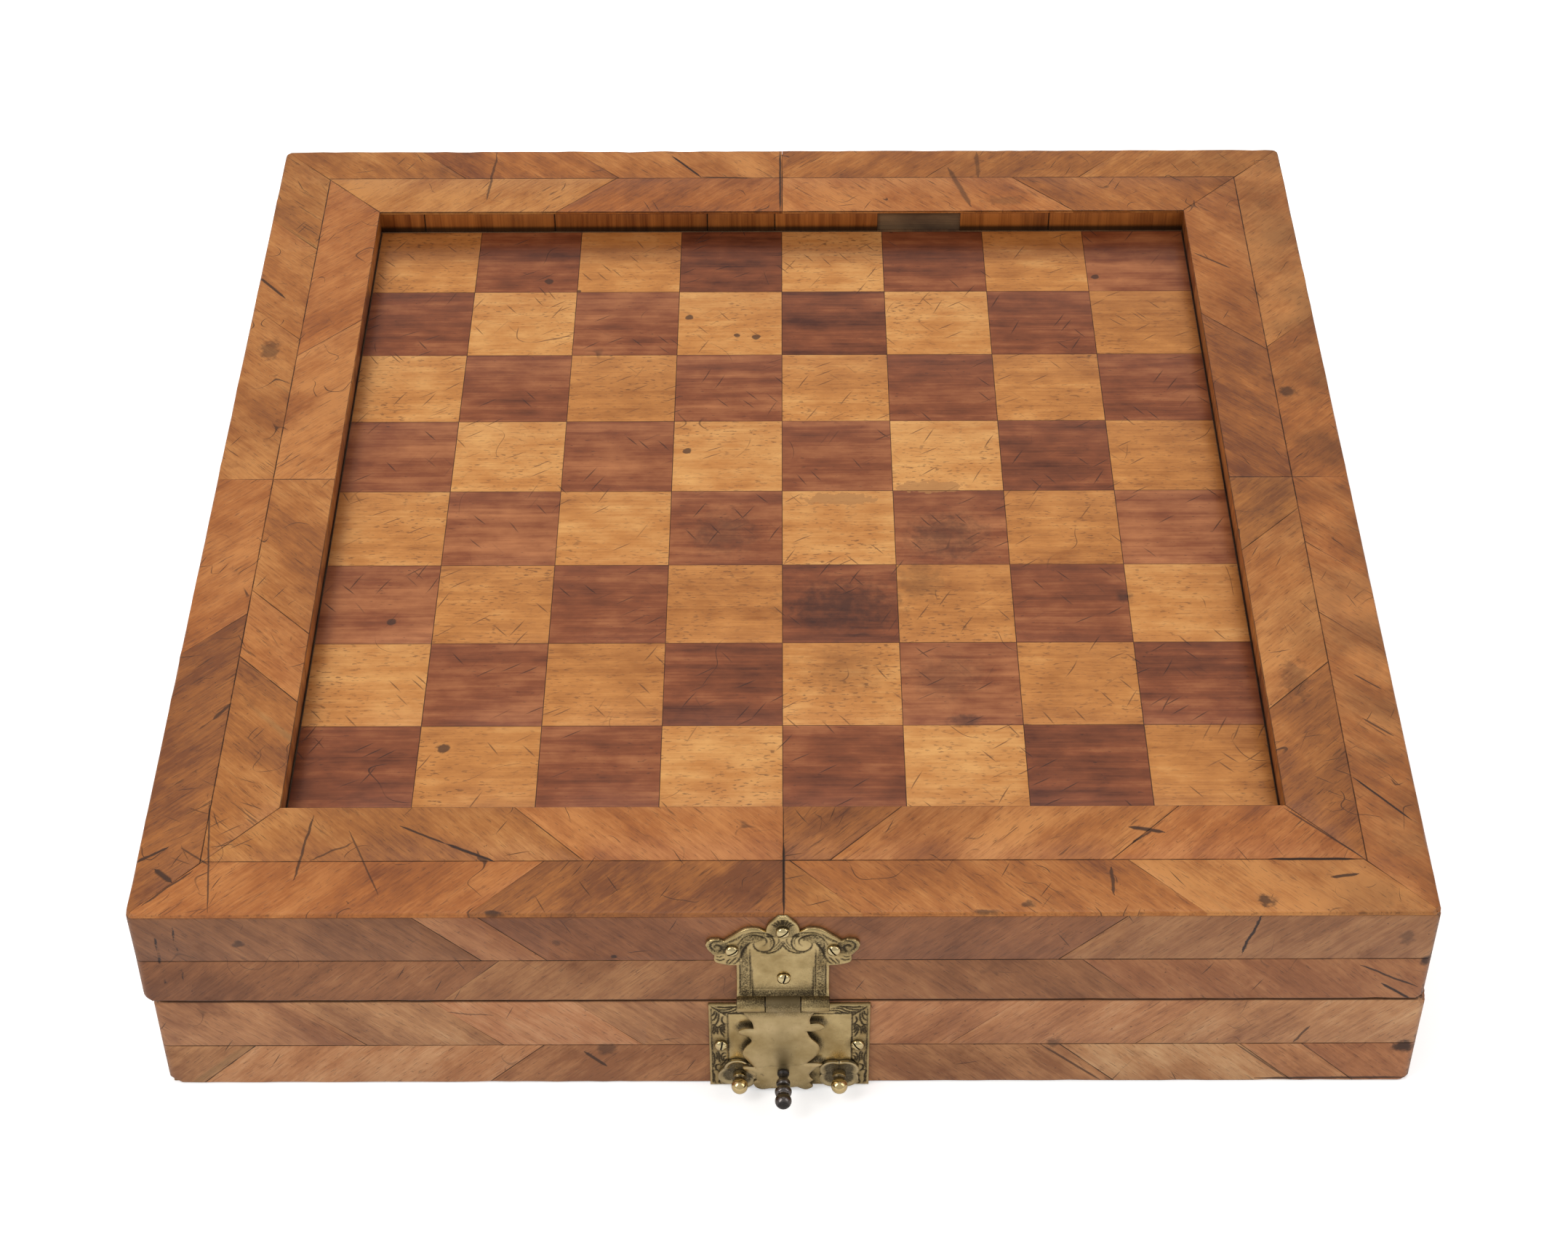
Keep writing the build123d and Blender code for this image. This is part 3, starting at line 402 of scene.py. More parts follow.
# %% The banding veneer
def banding_veneer(name, facing, pale, middle, dark, dirt, marks, wear_share):
    """Satin tulipwood, gone brown in the open pores. Marks gives this face's own damage, and on the
    fronts, sides and back the painted shade along the gap between the trays.
    """
    wood = Wood(name, facing)
    bands = wood.streaks(90.0, 12.0, 1.0, 2.0, 0.5, sway=9.0)
    fibre = wood.streaks(20.0, 0.8, 2.0, 4.0, 0.70, sway=2.0)
    mottle = wood.streaks(9.0, 3.5, 3.0, 4.0, 0.65)
    value = weighed((bands, 0.50), (fibre, 0.48), (mottle, 0.52), (wood.cloud(34.0, 2.6), 0.74),
                    (wood.leaf, 0.34))
    colour = wood.ramp(value, ((0.22, dark), (0.50, middle), (0.76, pale)))
    colour = wood.shaded((wood.leaf * 7.13).fraction() * 0.26, colour, "F4A184")
    green = wood.streaks(200.0, 9.0, 4.0, 2.0).step(0.68, 0.80)
    pores = wood.streaks(4.0, 0.45, 5.0, 2.0, 0.5).step(0.58, 0.72)
    colour = wood.painted(colour, (green * 0.40, "7F6A42"), (pores * 0.42, dirt))
    grime = (wood.cloud(58.0, 3.3).step(0.48, 0.78) * 0.40
             + wood.cloud(11.0, 8.1).step(0.58, 0.80) * 0.36)
    colour = wood.shaded(grime, colour, "96704E")
    scratches = strongest([
        wood.dashes(62, 60.0, 3.0, 0.22 * wear_share, 0.075, 1.1),
        wood.dashes(118, 80.0, 3.6, 0.20 * wear_share, 0.065, 2.7),
        wood.dashes(12, 90.0, 4.2, 0.20 * wear_share, 0.060, 4.3),
        wood.hairs(30.0, 0.0034, 21.1) * wear_share, wood.hairs(19.0, 0.0050, 27.7) * wear_share])
    specks = wood.cloud(1.3, 5.5, 2.0).step(0.69, 0.78)
    splits = (wood.streaks(12.0, 0.9, 7.0, 2.0, 0.5).step(0.64, 0.72)
              * wood.cloud(40.0, 6.6).step(0.38, 0.62) * wear_share)
    damage_and_gap_shade = strongest([scratches * 0.78, specks * 0.60, splits * 0.62, *marks(wood)])
    filth = 0.55 + 0.45 * wood.cloud(9.0, 31.3, 2.0).step(0.38, 0.58)
    edge = wood.seam.step(0.10, 0.72) * filth
    nicks = wood.worn * wood.cloud(2.6, 9.9, 2.0).step(0.56, 0.66)
    # Damage, and on the fronts, sides and back the painted gap shade, take the dirt colour.
    colour = wood.painted(colour, (damage_and_gap_shade, dirt), (edge * 0.88, "20120A"),
                          (wood.worn * 0.40, "8A5A34"), (nicks * 0.75, dirt))
    gloss = 0.44 + grime * 0.30 - fibre * 0.10 + damage_and_gap_shade * 0.12
    bump = wood.bump(fibre * 0.4 + bands * 0.2 - pores * 0.5 - damage_and_gap_shade * 1.3 - edge, 0.55, 0.12)
    return wood.done(Base_Color=colour, Roughness=gloss, Normal=bump, Specular_IOR_Level=0.34)


# %% [markdown]
# ## Old damage
#
# A box that has been carried about for centuries has its own splits, gouges and nail holes.
# Noise alone would spread them evenly, so each face has tables of them, and `damage` turns a
# table into masks. A crack is a thin dark line that wanders, and a blot is a ragged spot.

# %% Tables of damage
TOP_FACE, FRONT_FACE = [(1, 0, 0), (0, 1, 0)], [(1, 0, 0), (0, 0, 1)]
SIDE_FACE = [(0, 1, 0), (0, 0, 1)]
front_y = lid_box[0].y
# Splits and gouges: start, end, width, how far they wander, and how dark they are. On the
# top, the second number of a place counts from the front edge.
top_cracks = (
    ((151.5, 22.5), (179.5, 22.5), 0.75, 0.5, 1.0),
    ((-1.3, 415.8), (-1.3, 373.0), 0.6, 0.5, 0.9),
    ((-45.5, 412.0), (-33.5, 397.0), 0.7, 1.6, 1.0),
    ((-33.5, 397.0), (-12.0, 396.0), 0.5, 0.6, 0.8),
    ((-122.0, 37.5), (-107.0, 30.0), 0.6, 1.6, 0.9),
    ((-107.0, 30.0), (-91.0, 22.2), 0.8, 1.6, 1.0),
    ((183.0, 58.0), (199.0, 39.0), 0.6, 1.6, 1.0), ((-0.4, 0.5), (-0.4, 30.0), 0.6, 0.4, 0.95),
    ((-204.0, 21.9), (-194.0, 28.8), 0.7, 1.2, 0.9), ((-199.0, 4.1), (-185.0, 18.8), 0.6, 1.2, 0.8),
    ((-184.0, 48.8), (-178.0, 1.2), 0.4, 0.6, 0.8), ((-150.0, 42.2), (-153.0, 14.5), 0.6, 1.4, 0.8),
    ((-138.0, 35.7), (-126.0, 8.3), 0.4, 0.6, 0.7),
    ((-136.0, 30.7), (-149.0, 22.7), 0.45, 1.6, 0.7),
    ((-197.0, 19.3), (-191.0, 13.9), 1.4, 1.0, 0.9),
    ((-183.0, 93.1), (-188.0, 85.7), 0.9, 1.2, 0.8),
    ((-190.0, 28.3), (-180.0, 20.8), 0.5, 1.6, 0.7), ((102.0, 19.3), (102.0, 7.5), 0.8, 1.6, 0.8),
    ((109.0, 36.4), (120.0, 34.1), 1.1, 1.0, 0.9), ((117.0, 35.4), (109.0, 29.3), 0.6, 1.0, 0.8),
    ((170.0, 14.9), (179.0, 16.1), 0.9, 1.0, 0.9), ((159.0, 44.5), (181.0, 23.3), 0.5, 0.2, 0.8),
    ((190.0, 84.9), (199.0, 76.6), 0.6, 1.2, 0.8), ((190.0, 105.8), (198.0, 98.7), 0.5, 1.2, 0.8),
    ((-117.0, 414.0), (-119.0, 381.0), 0.7, 1.6, 0.7),
    ((-204.0, 330.0), (-192.0, 316.0), 0.8, 1.2, 0.9),
    ((67.0, 403.0), (75.0, 376.0), 1.5, 1.6, 0.6), ((79.0, 414.0), (79.0, 396.0), 1.2, 1.6, 0.5),
    ((161.0, 344.0), (174.0, 334.0), 0.6, 1.6, 0.8),
)
lid_front_cracks = (((147.0, 81), (142.5, 64), 0.7, 2.5, 1.0), ((180, 58), (200, 47), 0.55, 2.5, 0.9),
                    ((188, 49), (198, 41.5), 0.7, 1.5, 1.0))
base_front_cracks = (((-65, 16), (-58, 8.5), 0.9, 0.6, 0.9), ((82, 19.3), (103, 0.5), 0.6, 0.6, 0.8),
                     ((145, 19.3), (163, 2), 0.5, 0.8, 0.7), ((153, 1.5), (203, 1.8), 0.8, 0.6, 0.9),
                     ((163.5, 20), (168, 28), 0.6, 1.2, 0.8), ((-108, 36), (-93, 34), 0.5, 3.0, 0.6))
# Dark spots: place, reach along and across, how ragged and how dark.
top_blots = (
    ((187.0, 257.0), (5.0, 4.0), 0.8, 0.75), ((-194.0, 284.0), (5.0, 8.0), 0.9, 0.55),
    ((149.0, 5.0), (4.0, 3.0), 0.9, 0.80), ((170.0, 103.0), (6.0, 14.0), 1.0, 0.40),
    ((89.0, 380.0), (9.0, 4.0), 0.8, 0.35), ((-90.0, 0.9), (3.6, 1.3), 0.6, 0.85),
    ((75.0, 3.9), (3.4, 1.8), 0.9, 0.70), ((62.0, 0.9), (5.0, 1.2), 0.7, 0.70),
)
lid_front_blots = (((-170, 69), (2.5, 2), 0.7, 0.7), ((-53.5, 62.7), (1.4, 1.1), 0.5, 0.9),
                   ((-71, 69.5), (1.6, 2.2), 0.8, 0.5), ((201, 60), (3.5, 3), 0.5, 0.9),
                   ((193, 71), (3.5, 4), 0.8, 0.45))
base_front_blots = (((-57.5, 17), (4.5, 4), 0.7, 0.6), ((86.5, 20), (3.0, 3.5), 0.8, 0.6),
                    ((199.5, 18), (5, 4), 0.6, 0.95))
# Patches of crossed scratches: place, reach, raggedness, softness, darkness, and strokes.
scratched_patches = (
    ((176, 62), (24, 26), 0.5, 0.7, 0.75,
     ((28, 60.0, 2.2, 0.6, 0.11, 9.1), (-32, 50.0, 2.6, 0.5, 0.10, 10.3))),
    ((-174, 36), (34, 36), 0.4, 0.6, 0.70,
     ((38, 70.0, 3.4, 0.6, 0.08, 15.3), (-24, 70.0, 3.4, 0.5, 0.08, 13.3))),
)


print("damage:", len(top_cracks + lid_front_cracks + base_front_cracks), "cracks and",
      len(top_blots + lid_front_blots + base_front_blots), "blots")


# %% Damage on each face
def from_edge(place):
    """A place on the top, from one that counts from the front edge."""
    return place[0], front_y + place[1]


def damage(wood, cracks, blots, there=tuple):
    """Masks of cracks and blots."""
    return ([wood.crack(there(start), there(end), width, wander) * dark
             for start, end, width, wander, dark in cracks]
            + [wood.blot(there(place), size, ragged) * dark for place, size, ragged, dark in blots])


def top_marks(wood):
    """The top's damage, and patchy darkening towards its right-hand end."""
    marks = damage(wood, top_cracks, top_blots, from_edge)
    marks.append(wood.s.step(150.0, 205.0) * wood.cloud(24.0, 11.3).step(0.30, 0.70) * 0.48)
    for place, size, ragged, soft, dark, strokes in scratched_patches:
        crossed = strongest([wood.dashes(*stroke) for stroke in strokes])
        marks.append(wood.blot(from_edge(place), size, ragged, soft) * crossed * dark)
    return marks


def painted_gap_shade(wood):
    """Painted shade along the gap where the two trays meet."""
    return [(1.0 - abs(wood.t - lid_box[0].z).step(0.3, 0.9)) * 0.85]


def lid_front_marks(wood):
    """The lid's front also has two broken scores beside its left corner."""
    places = ((-195.5, 76, 47, 0.6, 2.2), (-189.5, 78, 50, 0.5, 7.2))
    scores = [wood.crack((x, top), (x, foot), width) * wood.cloud(4.0, seed).step(0.45, 0.6)
              for x, top, foot, width, seed in places]
    return painted_gap_shade(wood) + damage(wood, lid_front_cracks, lid_front_blots) + scores


def base_front_marks(wood):
    return painted_gap_shade(wood) + damage(wood, base_front_cracks, base_front_blots)


# Face, pale, middle and dark wood, dirt, the face's own damage with the painted gap shade, and a share
# of scratches.
veneer_looks = {
    "top": (TOP_FACE, "C88A4A", "AA6A30", "7C4722", "341C0D", top_marks, 1.0),
    "lid_front": (FRONT_FACE, "B27E50", "96623B", "754829", "36221A", lid_front_marks, 0.5),
    "base_front": (FRONT_FACE, "D0A374", "B88355", "905E3A", "3C261B", base_front_marks, 0.5),
    "side": (SIDE_FACE, "BA8A5C", "A07046", "7F5334", "3E2A1E", painted_gap_shade, 0.6),
    "back": (FRONT_FACE, "B4845A", "9B6C46", "7C5236", "3E2A1E", painted_gap_shade, 0.6),
}
veneers = {name: banding_veneer(f"{name}_veneer", *look) for name, look in veneer_looks.items()}
print("banding veneers:", *veneers)


# %% [markdown]
# ## Chess squares
#
# The light squares are fruitwood, full of short flecks and old scratches. The dark ones
# are a striped red-brown wood. All of them run the same way, from left to right, and the
# board is a little glossier than the frame. A few squares carry dark spills, and some
# finish has flaked off near the middle.

# %% Square finishes
# Places count from the lid's front edge. Stains have a reach and a strength, spots a
# radius, and flakes a reach.
board_stains = (((20, 150), (27, 17), 0.72), ((58, 186), (20, 18), 0.58),
                ((-22, 188), (17, 15), 0.50), ((60, 93), (8, 4), 0.70), ((118, 154), (3.6, 5), 0.70),
                ((47, 162), (13, 14), 0.36), ((20, 117), (20, 18), 0.24), ((55, 114), (18, 16), 0.32))
board_spots = (((-36.5, 314.5), 1.8), ((-18, 303), 1.4), ((-10.5, 302), 1.9), ((-92, 338), 2.0),
               ((122.5, 340), 1.8), ((-35.5, 233.5), 1.9), ((-135.5, 142), 2.0),
               ((-80, 331.5), 1.0), ((-112.5, 80.5), 2.4))
board_flakes = (((53, 213), (12, 3.4)), ((20, 206.5), (13, 3.6)))


def board_marks(wood):
    """Stains, spots and flakes that both kinds of square share."""
    stains = [wood.blot(from_edge(place), size, 0.7, 0.8) * dark
              for place, size, dark in board_stains]
    spots = [wood.blot(from_edge(place), (radius, radius), 0.55, 0.3)
             for place, radius in board_spots]
    flakes = [wood.blot(from_edge(place), size, 0.9, 0.12) for place, size in board_flakes]
    return map(strongest, (stains, spots, flakes))


def square_finish(name, stops, line_width, contrast, fleck_share, dirt):
    wood = Wood(name, TOP_FACE)
    lines = wood.streaks(90.0, line_width, 1.0, 3.0, 0.6, sway=2.6)
    fibre = wood.streaks(22.0, 0.8, 2.0, 3.0, 0.6, sway=1.0)
    mottle = wood.streaks(12.0, 6.0, 3.0, 4.0, 0.6, sway=3.0)
    value = weighed((lines, contrast), (fibre, 0.30), (mottle, 0.50), (wood.cloud(26.0, 2.1), 0.45),
                    (wood.leaf, 0.26))
    flecks = wood.streaks(2.4, 0.8, 5.0, 2.0, 0.5).step(0.64 - fleck_share, 0.76 - fleck_share)
    patch = wood.cloud(24.0, 4.4).step(0.35, 0.66)
    stains, spots, flakes = board_marks(wood)
    blotchy = 0.45 + 0.55 * wood.cloud(5.0, 6.1).step(0.25, 0.62)
    scratches = strongest([
        wood.dashes(34, 60.0, 3.6, 0.55, 0.085, 1.9), wood.dashes(61, 80.0, 4.2, 0.50, 0.075, 3.1),
        wood.dashes(128, 50.0, 3.8, 0.45, 0.090, 5.7), wood.hairs(34.0, 0.0032, 33.1)])
    colour = wood.painted(wood.ramp(value, stops), (flecks * (0.18 + patch * 0.46), dirt),
                          (scratches * 0.72, dirt), (stains * blotchy, "351A12"),
                          (flakes * 0.75, "B07A45"), (spots * 0.8, "3A2216"))
    # Painted shade: the squares darken towards the recess's side walls, in their shadow, and towards
    # its back wall, in its reflection.
    at_sides, at_back = abs(wood.s / 160.6), (wood.t - front_y) / 360.6
    rim = (at_sides.step(0.955, 1.0) * 0.55).at_least(at_back.step(0.955, 1.0) * 0.6)
    colour = wood.shaded(rim, colour, "7A4E36")
    colour = wood.mix(wood.seam.step(0.10, 0.80) * 0.72, colour, "24120A")
    gloss = 0.33 + (mottle - 0.5) * 0.14 + scratches * 0.2 + stains * 0.10 + flakes * 0.2
    height = fibre * 0.2 + lines * 0.3 - flecks * 0.4 - scratches * 0.8 - flakes
    return wood.done(Base_Color=colour, Roughness=gloss, Normal=wood.bump(height, 0.40, 0.1),
                     Coat_Weight=0.12, Coat_Roughness=0.18, Specular_IOR_Level=0.30)


squares = {
    "light": square_finish("light_square", ((0.20, "9C5C26"), (0.50, "C68240"), (0.80, "E4A862")),
                           4.5, 0.42, 0.075, "5A341B"),
    "dark": square_finish("dark_square", ((0.18, "4E210D"), (0.50, "884826"), (0.82, "B67244")),
                          6.0, 0.75, 0.0, "2C150C"),
}
print("square finishes:", *squares)


# %% [markdown]
# ## Plain wood
#
# The carcass, frames, linings and inlays inside need less history. One function makes
# them all, from two colours and the width of the growth lines.

# %% Plain timber
def timber(name, dark, pale, line_width, gloss, dirt_share=0.3, foot=None):
    """Plain wood. If a foot is given, a painted shadow darkens the wood just above that height."""
    wood = Wood(name, TOP_FACE)
    lines = wood.streaks(180.0, line_width, 1.0, 3.0, 0.6, sway=3.0)
    fibre = wood.streaks(24.0, 0.6, 2.0, 3.0)
    value = weighed((lines, 1.3), (fibre, 0.6), (wood.leaf, 0.3))
    stain = wood.noise(wood.scaled(wood.place, 0.03), 4.0).step(0.45, 0.75)
    colour = wood.shaded(stain * dirt_share, wood.ramp(value, ((0.2, dark), (0.8, pale))), "6E4C36")
    colour = wood.mix(wood.seam.step(0.10, 0.80) * 0.75, colour, "21120B")
    if foot is not None:
        height = wood.dot(wood.place, (0, 0, 1))
        # Painted shadow at the foot of the recess walls, where they meet the board.
        colour = wood.mix((1.0 - (height - foot).step(0.3, 2.2)) * 0.85, colour, "140B06")
    bump = wood.bump(fibre + lines * 0.6, 0.5, 0.1)
    return wood.done(Base_Color=colour, Roughness=gloss + stain * 0.12, Normal=bump)


woods = {
    "carcass": timber("old_pine", "9A7348", "C39C6B", 3.5, 0.62),
    "frame": timber("frame_pine", "8A6238", "B48A58", 3.0, 0.60, 0.5),
    "bare": timber("bare_pine", "4E3824", "80603F", 3.0, 0.70, 0.8),
    "edging": timber("edging_walnut", "5A3A22", "7E5636", 2.0, 0.48),
    "ground": timber("ground_walnut", "5B3B26", "84603F", 3.2, 0.42),
    "light": timber("point_maple", "B98B55", "DDB67C", 2.6, 0.42),
    "dark": timber("point_rosewood", "3E2016", "6A3A28", 2.2, 0.42),
    "panel": timber("panel_pine", "4A3322", "6B4C30", 4.0, 0.55, 0.8),
    "lining": timber("lining_tulipwood", "6A3310", "AA642B", 3.4, 0.30, 0.4,
                     box("light_squares")[1].z),
}
print("timbers:", *woods)


# %% [markdown]
# ## From CAD solids to leaves
#
# A CAD node is a set of sharp prisms. Welding its vertices and dissolving its flat faces
# gives back one clean prism for each leaf. An inset round the visible face, with its rim
# pressed down, becomes the fine V groove between leaves. Slices near the outer edges give
# the rounding below something to bend.

# %% Welding and finding leaves
def welded(node):
    """A CAD node as a bmesh in millimetres, with its corners joined and its flat faces whole."""
    mesh = bmesh.new()
    mesh.from_mesh(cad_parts[node].data)
    for vert in mesh.verts:
        vert.co /= MM
    bmesh.ops.remove_doubles(mesh, verts=mesh.verts, dist=0.004)
    bmesh.ops.dissolve_limit(mesh, angle_limit=math.radians(1.0), verts=mesh.verts, edges=mesh.edges)
    return mesh


def leaves(mesh):
    """The faces of each separate solid."""
    seen, groups = set(), []
    for first in mesh.faces:
        if first in seen:
            continue
        seen.add(first)
        group = [first]
        for face in group:
            for edge in face.edges:
                for other in edge.link_faces:
                    if other not in seen:
                        seen.add(other)
                        group.append(other)
        groups.append(group)
    return groups


def box_round(faces):
    return corners_of([vert.co for face in faces for vert in face.verts])


def middle_of(faces):
    """The middle of the box round some faces."""
    low, high = box_round(faces)
    return (low + high) / 2


def tint_of(middle):
    """A number from 0 to 1 that always belongs to the leaf in this place."""
    return random.Random("{:.0f} {:.0f} {:.0f}".format(*middle)).random()


def leaf_layers(mesh, *numbers):
    """New attributes of a mesh: its two directions, and some numbers."""
    layers = {kind: mesh.verts.layers.float_vector.new(kind) for kind in ("grain", "across")}
    layers.update({kind: mesh.verts.layers.float.new(kind) for kind in numbers})
    return layers


# %% Grain rules
def feathered(node, length_axis, width_axis):
    """Grain that leans away from the seam on both sides of the centre line."""
    low, high = box(node)
    centre = (low + high) / 2

    def rule(middle, faces):
        grain = Vector((0, 0, 0))
        for axis in (length_axis, width_axis):
            grain[axis] = math.copysign(math.sqrt(0.5), middle[axis] - centre[axis])
        return grain

    return rule


def straight(axis):
    """Grain along one axis."""
    return lambda middle, faces: Vector([float(number == axis) for number in range(3)])


def lengthwise(middle, faces):
    """Grain along the longest side of each board."""
    low, high = box_round(faces)
    size = list(high - low)
    return straight(size.index(max(size)))(middle, faces)


# %% [markdown]
# ## Wear
#
# Years of handling take the sharpness off. `worn` treats a tray as one box: it rounds the
# upright corners by about two millimetres, the arrises by half as much, and breaks the
# eight corners most. The amounts drift along each edge, so no edge is quite straight.

# %% Rounding a box by hand
def eased(a, b, radius):
    """Distances from two faces, after the edge between them is rounded."""
    if a >= radius or b >= radius:
        return a, b
    reach = math.hypot(radius - a, radius - b)
    if reach <= radius:
        return a, b
    share = radius / reach
    return radius - (radius - a) * share, radius - (radius - b) * share


def drift(point, size, seed):
    """A smooth number from -1 to 1 that changes over about this many millimetres."""
    return noise.noise(point / size + Vector((seed, seed * 1.3, -seed)))


def worn(point, low, high, upright, top_arris, bottom_arris, corner):
    """Where a point of a sharp box lies after long use."""
    centre, half = (low + high) / 2, (high - low) / 2
    offset = point - centre
    sign = [math.copysign(1, value) for value in offset]
    x, y, z = (max(half[axis] - abs(offset[axis]), 0.0) for axis in range(3))
    loss = (corner * (1 + 0.5 * drift(point, 14, 3)) - x - y - z) / 3
    if loss > 0:
        x, y, z = x + loss, y + loss, z + loss
    radius = upright * (1 + 0.25 * drift(point, 16, 5))
    x, y = eased(x, y, radius)
    arris = (top_arris if sign[2] > 0 else bottom_arris) * (1 + 0.7 * drift(point, 9, 7))
    chip = max(drift(point, 5, 11) - 0.45, 0) * 2.2 * arris
    if x < radius and y < radius:
        reach = math.hypot(radius - x, radius - y)
        side = radius - reach
        new_side, z = eased(side, z, arris + chip)
        grow = (new_side - side) / max(reach, 0.01)
        x, y = x + grow * (radius - x), y + grow * (radius - y)
    elif x < y:
        x, z = eased(x, z, arris + chip)
    else:
        y, z = eased(y, z, arris + chip)
    return centre + Vector([way * (reach - inset) for way, reach, inset in zip(sign, half, (x, y, z))])


LID_WEAR = {"low": lid_box[0], "high": lid_box[1], "upright": 2.4,
            "top_arris": 1.1, "bottom_arris": 0.7, "corner": 3.4}
BASE_WEAR = {"low": Vector((base_box[0].x, base_box[0].y, 0.0)), "high": base_box[1],
             "upright": 2.4, "top_arris": 0.7, "bottom_arris": 1.0, "corner": 3.8}


# %% Slices, grooves and the finished piece
def sliced(mesh, axis, places, near=0.0005):
    """Cuts every face at some places along an axis."""
    normal = straight(axis)(None, None)
    for place in places:
        everything = mesh.verts[:] + mesh.edges[:] + mesh.faces[:]
        bmesh.ops.bisect_plane(mesh, geom=everything, dist=near, plane_co=normal * place,
                               plane_no=normal)


def edge_slices(low, high, inset=(0.25, 0.6, 1.1, 1.8, 2.7, 4.0)):
    """Places just inside both ends of a range."""
    return [low + step for step in inset] + [high - step for step in inset]


def evenly(low, high, spacing):
    count = max(int((high - low) / spacing), 1)
    return [low + (high - low) * number / count for number in range(1, count)]


def piece(name, mesh, body, slot, finish, node, bevel=0.0, sharp=38.0):
    """Turns a bmesh in millimetres into an object that stands for a CAD node."""
    for face in mesh.faces:
        face.smooth = True
    for edge in mesh.edges:
        edge.smooth = edge.calc_face_angle(0.0) < math.radians(sharp)
    for vert in mesh.verts:
        vert.co *= MM
    data = bpy.data.meshes.new(name)
    mesh.to_mesh(data)
    mesh.free()
    data.materials.append(finish)
    made = bpy.data.objects.new(name, data)
    bpy.context.scene.collection.objects.link(made)
    if bevel:
        edges = made.modifiers.new("edges", "BEVEL")
        edges.width, edges.segments, edges.limit_method = bevel * MM, 2, "ANGLE"
        edges.angle_limit = math.radians(40)
    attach(made, body)
    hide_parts(node)


def on_box_edge(point, out, wear):
    """True where a face ends at an outer edge of its tray, and not at a joint."""
    centre, half = (wear["low"] + wear["high"]) / 2, (wear["high"] - wear["low"]) / 2
    return any(abs(out[axis]) < 0.5 and half[axis] - abs(point[axis] - centre[axis]) < 0.02
               for axis in range(3))


def inlay(node, body, slot, finish, outward, grain_rule, wear=None, cuts=(), groove=0.05, rim=0.2):
    """A node of veneer leaves, with a groove round each one's visible face."""
    mesh = welded(node)
    layers = leaf_layers(mesh, "leaf", "seam", "worn")
    shown = [face for faces in leaves(mesh) for face in faces
             if face.normal.dot(outward(middle_of(faces))) > 0.9]
    bmesh.ops.inset_region(mesh, faces=shown, thickness=rim, use_even_offset=True, use_boundary=True)
    for faces in leaves(mesh):
        middle = middle_of(faces)
        out = outward(middle)
        grain = grain_rule(middle, faces)
        for vert in {vert for face in faces for vert in face.verts}:
            vert[layers["grain"]], vert[layers["across"]] = grain, out.cross(grain)
            vert[layers["leaf"]] = tint_of(middle)
            shows = [face.normal.dot(out) > 0.9 for face in vert.link_faces]
            if any(shows) and not all(shows) and not (wear and on_box_edge(vert.co, out, wear)):
                vert[layers["seam"]] = 0.74 + 0.26 * drift(vert.co, 12, 2)
                vert.co -= out * groove * (1 + 0.5 * drift(vert.co, 15, 4))
    for axis, places in cuts:
        sliced(mesh, axis, places)
    if wear:
        for vert in mesh.verts:
            used = worn(vert.co, **wear)
            vert[layers["worn"]] = min((used - vert.co).length / 0.8, 1.0)
            vert.co = used
    piece(f"{node}_leaves", mesh, body, slot, finish, node)


# %% [markdown]
# ## The banding
#
# Four members lie on the lid's frame and four strips on each tray's sides. The grain leans
# at 45 degrees in every one of them. Cuts every few millimetres let the outer edges wander.

# %% Lay the banding
def towards(x, y, z):
    """The same outward direction for every leaf."""
    return lambda middle: Vector((x, y, z))


UP, DOWN = towards(0, 0, 1), towards(0, 0, -1)
OUTWARD = {"front": towards(0, -1, 0), "back": towards(0, 1, 0),
           "left": towards(-1, 0, 0), "right": towards(1, 0, 0)}
wide_joint = {"groove": 0.12, "rim": 0.32}
for side in SIDES:
    run, width_axis = (0, 1) if side in ("front", "back") else (1, 0)
    low, high = lid_box
    cuts = [(axis, edge_slices(low[axis], high[axis])) for axis in (0, 1)]
    cuts.append((run, evenly(low[run], high[run], 5.0)))
    node = f"top_{side}_banding"
    inlay(node, "lid", "top_banding", veneers["top"], UP, feathered(node, run, width_axis),
          LID_WEAR, cuts, **wide_joint)
    for body, (low, high), wear in (("lid", lid_box, LID_WEAR), ("base", base_box, BASE_WEAR)):
        look = {"front": f"{body}_front", "back": "back"}.get(side, "side")
        cuts = [(run, edge_slices(low[run], high[run])),
                (2, edge_slices(low.z, high.z, (0.2, 0.5, 0.9, 1.4, 2.2, 3.2, 4.5))),
                (run, evenly(low[run], high[run], 5.0))]
        node = f"{body}_{side}_banding"
        inlay(node, body, "side_banding", veneers[look], OUTWARD[side], feathered(node, run, 2),
              wear, cuts, **wide_joint)
print("banding laid on", len(SIDES) * 3, "faces")

# %% [markdown]
# ## The board, the recess and the insides
#
# The squares are single leaves with hairline joints. The recess is lined with short
# strips whose grain stands upright. The rest is carcass, seen only when the box is open.

# %% Squares and lining
for shade, finish in squares.items():
    inlay(f"{shade}_squares", "lid", f"{shade}_wood", finish, UP, straight(0), groove=0.06, rim=0.22)

recess_middle = sum(box("light_squares"), Vector()) / 2


def towards_board(middle):
    """Each strip of the lining faces the middle of the recess."""
    away = recess_middle - middle
    axis = 0 if abs(away.x) > abs(away.y) else 1
    return straight(axis)(None, None) * math.copysign(1, away[axis])


inlay("recess_edging", "lid", "lining", woods["lining"], towards_board, straight(2),
      groove=0.15, rim=0.35)
print("squares and lining are in")


